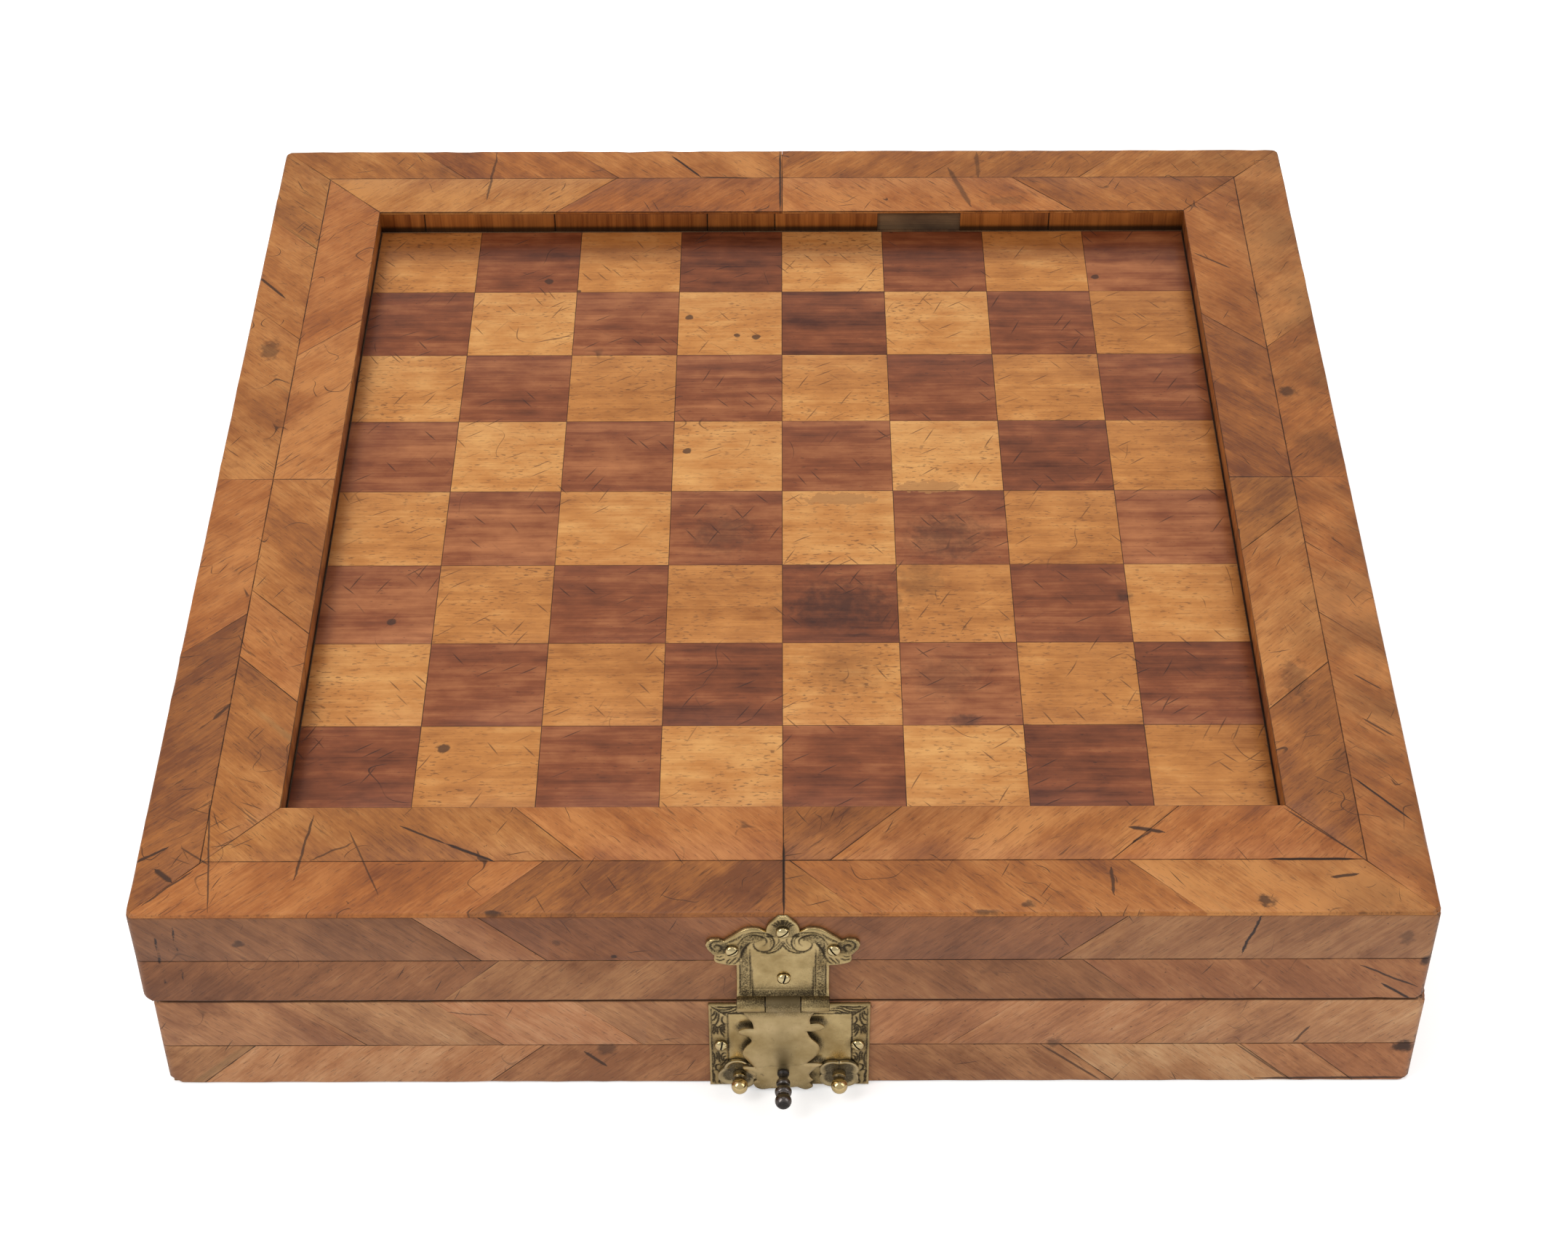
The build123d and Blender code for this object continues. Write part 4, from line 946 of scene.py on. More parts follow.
# %% Carcass, frames, rims and inner boards
def plain(node, body, slot, timber_name, bevel=0.15):
    """A node of solid wood: its own shape, with the sharpness taken off."""
    mesh = welded(node)
    layers = leaf_layers(mesh, "leaf")
    for faces in leaves(mesh):
        middle = middle_of(faces)
        grain = lengthwise(middle, faces)
        for vert in {vert for face in faces for vert in face.verts}:
            vert[layers["grain"]] = grain
            vert[layers["across"]] = Vector((grain.z, grain.x, grain.y))
            vert[layers["leaf"]] = tint_of(middle)
    piece(f"{node}_wood", mesh, body, slot, woods[timber_name], node, bevel)


for body, inward in (("base", UP), ("lid", DOWN)):
    for side in SIDES:
        plain(f"{body}_{side}_wall", body, "carcass", "carcass")
    plain(f"{body}_panel", body, "carcass", "panel", bevel=0.0)
    plain(f"{body}_rim_edging", body, "edging", "edging")
    inlay(f"{body}_field", body, "ground", woods["ground"], inward, straight(1))
    for shade in ("light", "dark"):
        inlay(f"{body}_{shade}_points", body, f"{shade}_wood", woods[shade], inward, straight(0))
plain("lid_frame", "lid", "frame_wood", "bare")
plain("underside_frame", "base", "frame_wood", "frame")
plain("underside_edging", "base", "lining", "edging")
for node, shade in (("mill_field", "light"), ("mill_lines", "dark")):
    inlay(node, "base", f"{shade}_wood", woods[shade], DOWN, straight(0))
print("insides are dressed")

# %% [markdown]
# ## Brass and iron
#
# The brass has gone olive, with dark dirt down in the engraving and bright metal where
# fingers rub. The mesh gives `depth`, from 0 on the face of a plate to 1 at the bottom of
# its deepest line, and the finish puts the dirt there. In places `depth` also carries painted
# shade, and on the knuckles a painted reflection, which the finish darkens the same way. The
# knobs are polished by use. The pull is black iron.

# %% Metal finishes
def metal(name, bright, dull, dirt, gloss, dirt_share=1.0, cloudiness=0.5):
    """Cast metal: bright where it is rubbed, dull in patches, and dark in its hollows and in the
    painted shade that the depth attribute carries.
    """
    finish = Finish(name)

    def at_size(size, detail):
        return finish.noise(finish.scaled(finish.place, 1 / size), detail, 0.6)

    patches, grain, spots = at_size(9.0, 4.0), at_size(0.4, 3.0), at_size(1.3, 2.0).step(0.64, 0.76)
    dulled = ((patches - 0.5) * 3.0 * cloudiness + cloudiness).at_least(0.0).at_most(1.0)
    colour = finish.mix(dulled, bright, dull)
    low = finish.attribute("depth")
    # Dirt in the hollows, together with the painted shade and reflection carried by the depth
    # attribute.
    hollow = (low * 1.2 + (grain - 0.5) * (0.5 + low * 1.6)).step(0.05, 1.0) * dirt_share
    colour = finish.mix(spots * 0.35 * cloudiness, colour, dirt)
    colour = finish.mix(hollow, colour, dirt)
    rough = gloss + hollow * 0.25 + (patches - 0.5) * 0.30 + spots * 0.1
    return finish.done(Base_Color=colour, Metallic=1.0 - hollow * 0.35, Roughness=rough,
                       Normal=finish.bump(grain + patches * 2.0, 0.35, 0.08))


metals = {
    "plate": metal("plate_brass", "D4BC88", "8A7144", "3A2D17", 0.27),
    "flap": metal("flap_brass", "D6BE90", "98804F", "40331C", 0.40, 0.80, 0.5),
    "screw": metal("screw_brass", "DCC898", "AE9868", "2A2012", 0.12, 1.0, 0.3),
    "knob": metal("knob_brass", "DEC692", "AE9462", "2E2110", 0.13, 0.9, 0.35),
    "rosette": metal("rosette_brass", "D2BC8C", "9A8A6C", "3E3629", 0.30, 0.9, 0.5),
    "hinge": metal("hinge_brass", "B8A068", "85713F", "2C2212", 0.38),
    "iron": metal("black_iron", "77706C", "4E4946", "1E1A18", 0.22, 0.8, 0.6),
}
print("metals:", *metals)

# %% [markdown]
# ## Plates in relief
#
# An engraved plate could be a flat plate with a bump map, but its edge, its rim and its
# scrolls catch the light only if they are real. `relief` scatters points over an outline,
# more where there is ornament, joins them into triangles, and lifts each point to a height
# that a formula gives. The sides and the back are closed, so the plate is solid.

# %% A plate from an outline and a height
def inside(point, outline):
    """Whether a point lies in a closed polygon."""
    x, z = point
    crossings = sum((z0 > z) != (z1 > z) and x < x0 + (z - z0) * (x1 - x0) / (z1 - z0)
                    for (x0, z0), (x1, z1) in zip(outline, outline[1:] + outline[:1]))
    return crossings % 2 == 1


def walked(points, spacing, closed=True):
    """Points at about even steps along a polyline."""
    path = []
    ends = zip(points, points[1:] + points[:1]) if closed else zip(points, points[1:])
    for start, end in ends:
        length = math.dist(start, end)
        count = max(round(length / spacing), 1)
        path += [tuple(a + (b - a) * step / count for a, b in zip(start, end))
                 for step in range(count)]
    return path if closed else path + [points[-1]]


def neighbours(loops):
    """Each point of some closed loops, between the one before and the one after."""
    for loop in loops:
        yield from zip(loop[-1:] + loop[:-1], loop, loop[1:] + loop[:1])


def tree_of(points):
    """A search tree over points of a plane."""
    tree = kdtree.KDTree(len(points))
    for number, (x, z) in enumerate(points):
        tree.insert((x, z, 0), number)
    tree.balance()
    return tree


def arc(centre, radius, start, end, steps=10):
    """Points of an arc, from one angle to another. Its centre lies on the second axis."""
    angles = [math.radians(start + (end - start) * step / steps) for step in range(steps + 1)]
    return [(radius * math.cos(angle), centre + radius * math.sin(angle)) for angle in angles]


def relief(mesh, outline, height, place, back, spacing, holes=(), level=lambda x, z: 1):
    """A plate in an empty bmesh. Place turns (x, z, out) into a point, and height gives (out, depth).

    Height is asked with x, z and the distance to the nearest edge. Level says how many times
    coarser the points may lie at (x, z).
    """
    layer = mesh.verts.layers.float["depth"]
    bands = (0.12, 0.3, 0.6)
    loops = [walked(line, spacing) for line in (outline, *holes)]
    edge_points = [point for loop in loops for point in loop]
    edges, start = [], 0
    for loop in loops:
        edges += [(start + number, start + (number + 1) % len(loop)) for number in range(len(loop))]
        start += len(loop)
    rim = tree_of(edge_points)
    xs, zs = zip(*outline)

    def within(spot):
        return inside(spot, loops[0]) and not any(inside(spot, hole) for hole in loops[1:])

    points, loose = list(edge_points), []
    for before, (x, z), after in neighbours(loops):
        run = Vector((after[0] - before[0], after[1] - before[1])).normalized()
        for band in bands:
            for turn in (1, -1):
                spot = (x - turn * run.y * band, z + turn * run.x * band)
                if within(spot) and rim.find((*spot, 0))[2] > 0.8 * band:
                    loose.append(spot)
    row, z = 0, min(zs)
    while z < max(zs):
        x = min(xs) + (row % 2) * spacing / 2
        while x < max(xs):
            coarse = level(x, z)
            if row % coarse == 0 and round((x - min(xs)) / spacing) % coarse == 0:
                if rim.find((x, z, 0))[2] > bands[-1] + 0.4 * spacing and within((x, z)):
                    loose.append((x, z))
            x += spacing
        row, z = row + 1, z + spacing * 0.87
    points += loose
    flats, _, triangles, *_ = delaunay_2d_cdt([Vector(point) for point in points], edges, [], 1, 1e-5)
    verts = []
    for flat in flats:
        out, depth = height(flat.x, flat.y, rim.find((flat.x, flat.y, 0))[2])
        vert = mesh.verts.new(place(flat.x, flat.y, out))
        vert[layer] = depth
        verts.append(vert)
    for corners in triangles:
        centre = sum((flats[corner] for corner in corners), Vector((0, 0))) / len(corners)
        if within(centre):
            mesh.faces.new([verts[corner] for corner in corners])
    border = [edge for edge in mesh.edges if edge.is_boundary]
    grown = bmesh.ops.extrude_edge_only(mesh, edges=border)["geom"]
    back_y = place(0, 0, back).y
    for vert in (item for item in grown if isinstance(item, bmesh.types.BMVert)):
        vert.co.y, vert[layer] = back_y, 0.6
    low_edges = [item for item in grown if isinstance(item, bmesh.types.BMEdge)
                 and all(abs(vert.co.y - back_y) < 1e-4 for vert in item.verts)]
    bmesh.ops.triangle_fill(mesh, edges=low_edges, use_beauty=True)
    loosened = [vert for vert in mesh.verts if not vert.link_faces]
    bmesh.ops.delete(mesh, geom=loosened, context="VERTS")


def turned(mesh, profile, place, steps=40, depth=lambda radius, out: 0.0):
    """Adds a turned form. The profile is (radius, out) from the tip or foot to the other end."""
    layer = mesh.verts.layers.float["depth"]
    angles = [2 * math.pi * step / steps for step in range(steps)]
    rings = []
    for radius, out in profile:
        circle = [(radius * math.cos(angle), radius * math.sin(angle)) for angle in angles]
        spots = circle if radius > 1e-4 else [(0, 0)]
        rings.append([mesh.verts.new(place(*spot, out)) for spot in spots])
        for vert in rings[-1]:
            vert[layer] = depth(radius, out)
    for first, second in zip(rings, rings[1:]):
        for step in range(steps):
            corners = [first[step % len(first)], first[(step + 1) % len(first)],
                       second[(step + 1) % len(second)], second[step % len(second)]]
            mesh.faces.new(list(dict.fromkeys(corners)))
    for end in (rings[0], rings[-1]):
        if len(end) > 1:
            mesh.faces.new(end)


def new_mesh():
    """An empty bmesh whose points carry a depth."""
    mesh = bmesh.new()
    mesh.verts.layers.float.new("depth")
    return mesh


def metal_piece(name, mesh, node, body, slot, finish, sharp=55.0):
    """A piece with its normals outward and a metal finish."""
    bmesh.ops.recalc_face_normals(mesh, faces=mesh.faces[:])
    print(name, "has", len(mesh.verts), "vertices")
    piece(name, mesh, body, slot, metals[finish], node, sharp=sharp)


def curve_through(points, steps=8):
    """A smooth line through some points."""
    ends = [points[0], *points, points[-1]]
    line = []
    for a, b, c, d in zip(ends, ends[1:], ends[2:], ends[3:]):
        for step in range(steps):
            t = step / steps
            line.append(tuple(0.5 * (2 * q + (r - p) * t + (2 * p - 5 * q + 4 * r - s) * t * t
                                     + (3 * q - p - 3 * r + s) * t ** 3)
                              for p, q, r, s in zip(a, b, c, d)))
    return line + [points[-1]]


def nearness(away, reach):
    """1 at a place, falling to 0 a reach away from it."""
    return max(1 - away / reach, 0)


def unit(value):
    """A number kept between 0 and 1."""
    return min(max(value, 0.0), 1.0)


# %% Engraved lines
class Engraving:
    """Cut lines. Each has its points, a depth, a half width, and thin or full ends."""

    def __init__(self, lines):
        spots, self.cuts = [], []
        for points, depth, width, thin_ends in lines:
            path = walked(points, 0.12, closed=False)
            for number, spot in enumerate(path):
                share = number / (len(path) - 1)
                fade = min(1.0, 4.5 * min(share, 1 - share) + 0.25) if thin_ends else 1.0
                spots.append(spot)
                self.cuts.append((depth * fade, width * (0.6 + 0.4 * fade)))
        self.tree = tree_of(spots)

    def depth(self, x, z, reach=0.9):
        """How deep a point is cut, and how near it is to a cut: 1 in it, 0 a reach away."""
        deepest, nearest = 0.0, reach
        for _, number, away in self.tree.find_range((x, z, 0), reach):
            depth, width = self.cuts[number]
            nearest = min(nearest, away)
            if away < width:
                deepest = max(deepest, depth * (1 - (away / width) ** 2))
        return deepest, 1 - nearest / reach


def both_sides(lines):
    """Each line of the right half, smoothed, and the same line on the left."""
    return [(curve_through([(side * x, z) for x, z in points]), depth, width, True)
            for side in (-1, 1) for points, depth, width in lines]


# %% Where the hardware stands
front_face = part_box("lock_plate")[1].y / MM
lock_low, lock_high = box("lock_plate")
hasp_x, lock_x = [sum(corner.x for corner in box(node)) / 2 for node in ("hasp_plate", "lock_plate")]
plate_front = front_face - lock_low.y
print("plates stand", round(plate_front, 2), "mm in front of the face at y", round(front_face, 2))


def on_front(centre_x, centre_z=0.0):
    """Turns (x, z, out) beside a centre into a point in front of the box."""
    return lambda x, z, out: Vector((centre_x + x, front_face - out, centre_z + z))


# %% [markdown]
# ## The hasp's fixed plate
#
# A shell stands at the top over two scrolls, and rolled ears hang at the sides over fans
# of leaves. Two stippled bands run down the shank between raised lines. The lower end
# bends forward into the knuckles.

# %% The fixed plate
def outline_of(stretches):
    """Stretches of an outline, each smoothed by itself, so that corners stay between them."""
    return [point for stretch in stretches for point in curve_through(stretch)[:-1]]


# The right half of the outline, from the shell's tip to the foot.
right_half = outline_of((
    ((0.0, 82.0), (1.7, 81.75), (4.6, 78.3), (5.3, 75.2)),
    ((5.3, 75.2), (8.0, 76.8), (12.0, 76.3), (16.4, 72.7), (18.5, 70.8)),
    ((18.5, 70.8), (20.6, 71.8), (23.5, 70.7), (23.8, 67.6), (21.5, 64.4)),
    ((21.5, 64.4), (21.2, 61.3), (17.4, 59.85), (14.7, 59.7)))) + [(14.6, 59.6), (14.6, 45.8)]
hasp_outline = right_half + [(-x, z) for x, z in reversed(right_half)][:-1]
# Lines of the right half, each with its depth and half width. The left half mirrors them.
hasp_lines = (
    (((6.2, 69.2), (5.3, 69.9), (5.0, 71.1), (5.3, 72.3), (6.4, 73.3), (8.2, 74.1), (10.2, 74.1),
      (12.0, 73.0), (13.1, 71.4), (14.0, 69.8)), 0.34, 0.42),
    (((7.7, 71.3), (8.9, 70.7), (9.0, 68.9), (7.9, 67.0), (6.1, 66.3), (4.2, 66.8), (3.0, 68.7),
      (2.7, 70.7), (3.2, 72.7), (4.5, 74.3), (6.4, 75.1), (8.7, 75.3), (11.1, 74.7), (12.8, 73.3)),
     0.36, 0.44),
    (((3.9, 68.9), (3.6, 71.1), (4.1, 72.8), (5.4, 73.8), (7.3, 74.6)), 0.22, 0.34),
    (((-0.5, 71.1), (0.0, 69.6), (1.1, 67.7), (2.6, 66.3), (4.7, 65.7), (6.8, 66.0)), 0.36, 0.44),
    (((0.2, 71.4), (0.9, 69.6), (2.0, 68.0), (3.0, 67.4)), 0.26, 0.36),
    (((1.3, 72.8), (1.2, 71.2), (1.9, 69.6), (2.7, 68.6)), 0.26, 0.36),
    (((8.9, 71.4), (10.2, 70.4), (11.4, 68.7), (12.4, 66.5), (13.1, 64.1), (14.0, 61.9),
      (15.3, 60.6)), 0.34, 0.42),
    (((10.3, 67.7), (10.2, 56.0), (10.3, 46.2)), 0.34, 0.40),
    (((9.6, 59.2), (9.6, 46.4)), 0.18, 0.30),
    (((13.4, 61.9), (13.4, 46.2)), 0.36, 0.40),
    (((13.6, 63.5), (14.4, 61.6), (15.7, 60.5)), 0.28, 0.38),
    (((14.3, 63.9), (15.6, 62.1), (17.1, 60.3)), 0.34, 0.42),
    (((16.3, 63.2), (17.3, 61.9), (17.6, 60.6)), 0.28, 0.38),
    (((18.1, 63.2), (19.4, 62.3), (21.0, 62.9)), 0.34, 0.42),
    (((18.7, 64.6), (19.8, 63.9), (21.0, 64.4)), 0.26, 0.36),
    (((12.0, 74.9), (13.4, 73.4), (15.2, 72.0), (17.6, 70.6)), 0.26, 0.38),
    (((13.0, 73.4), (14.3, 72.1), (16.3, 71.0)), 0.22, 0.34),
    (((18.6, 70.9), (19.9, 71.3), (21.6, 71.0), (22.5, 69.6), (22.3, 68.0), (21.0, 66.6)),
     0.20, 0.36),
    (((19.9, 66.4), (19.1, 67.6), (19.4, 69.0), (20.6, 69.4), (21.3, 68.6)), 0.24, 0.38),
)
shell_middle = 76.4
shell_rays = [[(side * reach * math.cos(angle), shell_middle + reach * math.sin(angle))
               for reach in (2.4, 3.6, 4.8)]
              for side in (-1, 1) for angle in map(math.radians, (38, 54, 70, 86))]
stipple_line = ((6.9, 72.6), (8.7, 72.9), (10.5, 72.2), (11.8, 70.4), (12.2, 67.3), (11.9, 64.1),
                (11.85, 61.0), (11.85, 46.0))
cuts = Engraving(both_sides(hasp_lines) + [(ray, 0.22, 0.36, True) for ray in shell_rays])
stipple = Engraving([(line, 1.0, 1.25, False) for line, *_ in both_sides([(stipple_line, 0, 0)])])
ear_centre, side_screw = (20.4, 68.6), (15.85, 67.4)
field_half, field_high, shell_low, bend_z = 9.8, 64.6, 73.0, 48.2


def hasp_height(x, z, edge):
    """Stippled bands, a sunk field, a hollow shell and rolled ears, all under the engraving."""
    across = abs(x)
    depth, near = cuts.depth(x, z)
    pitted = min(stipple.depth(x, z, 1.3)[0] * 2.5, 1)
    ground = dirt_and_shade = 0.0
    if pitted:
        rough = noise.noise(Vector((x * 1.9, z * 1.9, 3.0)))
        ground, dirt_and_shade = pitted * (0.14 + 0.22 * rough), pitted * (0.46 + 0.5 * rough)
    elif across < field_half and z < field_high:
        # Painted reflection and shade: the sunk field darkens towards its foot and its right-hand
        # side.
        ground, dirt_and_shade = 0.08, 0.40 * nearness(z - 47.0, 7.0) + 0.16 * max(x / 10, 0)
    elif z > shell_low and across < 5.0:
        ground, dirt_and_shade = 0.30 * min(edge / 1.6, 1), 0.42 * min(edge / 2.0, 1)
    ear = math.dist((across, z), ear_centre)
    if ear < 3.6:
        ground = 0.20 - 0.18 * nearness(ear, 0.9) - 0.20 * nearness(abs(ear - 3.0), 0.8)
        dirt_and_shade = 0.34
    dirt_and_shade += 0.34 * near ** 2 + 1.5 * depth - 0.4 * nearness(edge, 0.6)
    dirt_and_shade += 0.8 * nearness(math.dist((across, z), side_screw), 4.2)
    out = plate_front - 0.10 - 0.45 * nearness(edge, 0.7) ** 2
    if z < bend_z:
        # Painted shade: the bend into the knuckles is darker still.
        return out - depth * 0.4 + 1.15 * ((bend_z - z) / 2.4) ** 2, min(dirt_and_shade + 0.2, 1.0)
    return out - depth - ground, unit(dirt_and_shade)


# %% The knuckles
pin_y, pin_z = [sum(corner[axis] for corner in box("hasp_pin")) / 2 for axis in (1, 2)]
barrel_r = box("hasp_flap")[1].z - pin_z
flap_knuckle, knuckle_gap, shank = 5.5, 0.2, 14.7


def knuckle(mesh, x_from, x_to):
    """A barrel with soft ends round the hasp's pin, darker above and lighter below in a painted
    reflection.
    """
    soft, layer = 0.22, mesh.verts.layers.float["depth"]
    profile = [(0.0, x_from), (barrel_r - soft, x_from), (barrel_r - 0.07, x_from + 0.07),
               (barrel_r, x_from + soft), (barrel_r, x_to - soft), (barrel_r - 0.07, x_to - 0.07),
               (barrel_r - soft, x_to), (0.0, x_to)]
    before = len(mesh.verts)
    turned(mesh, profile, lambda a, b, along: Vector((hasp_x + along, pin_y + a, pin_z + b)), 36)
    mesh.verts.ensure_lookup_table()
    for vert in mesh.verts[before:]:
        end = min(vert.co.x - hasp_x - x_from, x_to - vert.co.x + hasp_x) < soft
        # Painted reflection: the barrel's upper side is darkened and its lower side left bright. The
        # ends and some streaks are darker too.
        high = max((vert.co.z - pin_z) / barrel_r + 0.3, 0)
        streak = 0.25 * max(noise.noise(Vector((vert.co.x * 0.25, vert.co.z * 1.3, 4.0))), 0)
        vert[layer] = min(0.02 + 0.35 * end + 0.42 * high + streak, 1.0)


mesh = new_mesh()
relief(mesh, hasp_outline, hasp_height, on_front(hasp_x), back=0.02, spacing=0.42)
knuckle(mesh, -shank, -flap_knuckle - knuckle_gap)
knuckle(mesh, flap_knuckle + knuckle_gap, shank)
metal_piece("hasp_plate_relief", mesh, "hasp_plate", "lid", "plate_brass", "plate")

# %% [markdown]
# ## The flap's outline
#
# It is needed twice: for the flap, and for the painted shadow and dirt on the lock plate
# along the flap's edge. Its two sides differ, because it was cut by hand.

# %% Outline of the flap
flap_outline = outline_of((
    ((10.0, 39.6), (8.9, 37.4), (8.45, 35.5), (8.7, 33.8)),
    ((8.7, 33.8), (11.2, 34.0), (13.1, 32.2), (11.3, 30.3), (7.5, 30.2)),
    ((7.5, 30.2), (8.7, 26.8), (11.3, 23.2), (11.5, 19.7), (9.5, 16.4), (7.5, 14.2)),
    ((7.5, 14.2), (10.8, 14.0), (12.6, 13.3)),
    ((12.6, 13.3), (10.5, 11.5), (8.4, 8.2), (9.7, 5.6)),
    ((9.7, 5.6), (8.4, 4.0)),
    ((8.4, 4.0), (9.6, 2.2), (7.3, 0.7), (4.5, 2.0)),
    ((4.5, 2.0), (0.0, 1.3), (-4.5, 1.2)),
    ((-4.5, 1.2), (-7.0, 0.75), (-9.0, 2.0), (-9.7, 4.3), (-8.5, 5.5)),
    ((-8.5, 5.5), (-9.5, 7.5), (-12.5, 10.6), (-13.0, 12.0)),
    ((-13.0, 12.0), (-11.3, 12.4), (-9.3, 12.2)),
    ((-9.3, 12.2), (-11.6, 15.7), (-13.0, 19.0), (-12.1, 21.9), (-10.1, 25.0), (-11.0, 27.5)),
    ((-11.0, 27.5), (-13.0, 28.4), (-14.2, 30.2), (-11.8, 31.4), (-9.35, 31.4)),
    ((-9.35, 31.4), (-9.8, 34.4), (-11.1, 36.7), (-12.7, 39.6)),
))
flap_outline += [(-12.7, 39.6), (-flap_knuckle, 39.6), (-flap_knuckle, pin_z),
                 (flap_knuckle, pin_z), (flap_knuckle, 39.6)]
flap_rim = tree_of([(x + hasp_x - lock_x, z) for x, z in walked(flap_outline, 0.5)])

# %% [markdown]
# ## The lock plate
#
# A plain rectangle with a rolled edge, and a border of engraved leaves with mitred
# corners, cut freehand. The slot for the hasp's stud is cut through.

# %% The lock plate
# Strokes of the border's right half. The left half mirrors them.
border_lines = (
    # the mitre, and the lobes below it
    ((19.9, 35.4), (24.9, 40.0)),
    ((21.1, 35.2), (21.5, 33.9), (21.4, 32.4), (20.7, 31.3), (20.2, 31.6)),
    ((22.5, 37.0), (22.5, 34.8), (22.8, 32.8), (23.6, 31.2), (24.9, 30.9)),
    ((23.1, 37.4), (23.3, 35.3), (23.9, 33.7), (24.9, 33.2)),
    ((23.7, 37.9), (24.0, 36.4), (24.8, 35.3)),
    ((20.3, 31.0), (21.6, 30.9), (22.8, 29.6), (23.9, 30.7), (24.9, 31.3)),
    ((22.9, 29.4), (23.0, 26.4)),
    ((21.3, 30.6), (21.5, 29.2), (21.1, 27.6), (20.5, 26.9)),
    ((22.0, 30.2), (22.0, 28.4), (21.6, 26.6), (20.8, 25.2)),
    ((20.6, 30.5), (20.9, 29.4), (20.6, 28.2)),
    ((23.6, 29.7), (23.6, 28.1), (24.2, 26.4)),
    ((24.2, 30.3), (24.2, 28.4), (24.8, 26.6)),
    # the leaves beside and above the knob
    ((20.3, 16.8), (21.5, 16.5), (22.0, 14.9), (21.7, 12.6)),
    ((20.5, 15.4), (21.2, 14.6), (21.2, 12.8)),
    ((23.0, 17.6), (22.6, 15.8), (22.7, 13.4), (22.2, 11.8)),
    ((23.6, 17.2), (23.3, 15.4), (23.5, 13.4)),
    ((24.9, 18.0), (24.3, 15.9), (24.1, 13.2), (24.5, 10.6), (24.9, 9.2)),
    ((20.2, 14.0), (20.9, 12.2), (22.1, 10.4)),
    ((22.4, 11.2), (23.6, 10.7), (23.9, 9.0), (23.1, 7.8)),
    ((23.8, 8.4), (24.9, 7.6), (24.4, 5.4), (24.5, 3.0), (24.0, 1.4)),
    ((22.6, 5.6), (22.2, 4.0), (22.9, 2.2), (22.4, 1.2)),
    ((20.5, 2.4), (21.4, 3.6), (21.2, 1.4)),
    # the flowing lines along the top
    ((15.0, 40.0), (17.6, 39.6), (19.0, 38.7), (21.6, 38.3), (23.4, 38.9)),
    ((13.4, 39.2), (16.4, 38.9), (18.2, 37.7), (20.5, 37.2), (22.4, 37.6)),
    ((12.8, 38.0), (15.6, 37.8), (17.4, 36.9), (19.4, 36.6), (21.2, 36.8)),
    ((17.2, 39.9), (20.4, 39.5), (23.6, 39.8)),
    ((14.4, 37.0), (16.0, 36.7), (18.2, 36.7)),
)


field_left, field_right, field_top = -19.6, 20.0, 36.3
frame_line = [(field_left, 1.2), (field_left, field_top), (field_right, field_top),
              (field_right, 1.2)]
rolled_edges = [([(side * 24.9, 38.8), (side * 24.9, 2.1)], 0.16, 0.30, False) for side in (-1, 1)]
cuts = Engraving([(frame_line, 0.24, 0.34, False), *rolled_edges,
                  *both_sides([(points, 0.32, 0.40) for points in border_lines])])
knob_x, knob_z = 16.1, 7.2
lock_screw = (21.9, 21.3)


def lock_height(x, z, edge):
    """The rolled edge, the sunk field and the engraving. It is darker round the knobs, has dirt round
    the screws, and painted shadow with dirt along the flap's edge.
    """
    depth, near = cuts.depth(x, z)
    field = field_left < x < field_right and z < field_top
    wave = 0.05 * noise.noise(Vector((x * 0.25, z * 0.25, 7.0)))
    ground = 0.05 if field else 0.10 * max(noise.noise(Vector((x * 1.6, z * 1.6, 5.0))), 0)
    dirt_and_shade = near ** 2 * (0.20 if field else 0.40) + depth * 1.5 + (0.06 if field else 0.14)
    dirt_and_shade += 0.9 * nearness(math.dist((abs(x), z), (knob_x, knob_z)), 8.5)
    # Painted shadow that the flap casts, with dirt, along the flap's edge.
    dirt_and_shade += 0.6 * nearness(flap_rim.find((x, z, 0))[2], 2.2)
    dirt_and_shade += 0.7 * nearness(math.dist((abs(x), z), lock_screw), 4.6) - 0.4 * nearness(edge, 0.8)
    rolled = 0.55 * nearness(edge, 1.0) ** 1.6
    return plate_front - 0.06 - depth - ground - rolled + wave * 0.5, unit(dirt_and_shade)


# The slot is as wide as its two round ends, whose centres stand one above the other.
slot_z, slot_half, slot_rise = 9.57, 3.3, 0.43
slot = [(hasp_x - lock_x + x, z) for lift, start in ((slot_rise, 0), (-slot_rise, 180))
        for x, z in arc(slot_z + lift, slot_half, start, start + 180, 14)]
half_width = (lock_high.x - lock_low.x) / 2
corners = [(side * half_width, z) for side, z in (
    (-1, lock_low.z), (1, lock_low.z), (1, lock_high.z), (-1, lock_high.z))]
mesh = new_mesh()
relief(mesh, corners, lock_height, on_front(lock_x), back=0.0, spacing=0.40, holes=[slot],
       level=lambda x, z: 3 if field_left + 1 < x < field_right - 1 and z < field_top - 1 else 1)
metal_piece("lock_plate_relief", mesh, "lock_plate", "base", "plate_brass", "plate")

# %% [markdown]
# ## The flap and its pull
#
# The flap is a smooth plate, filed by hand to a wavy outline with worn edges. One line
# crosses it above the pull. The pull is turned from iron, and so is the stud behind it.

# %% The flap
flap_out, flap_back = 4.05, 2.95
pull_z = 10.0


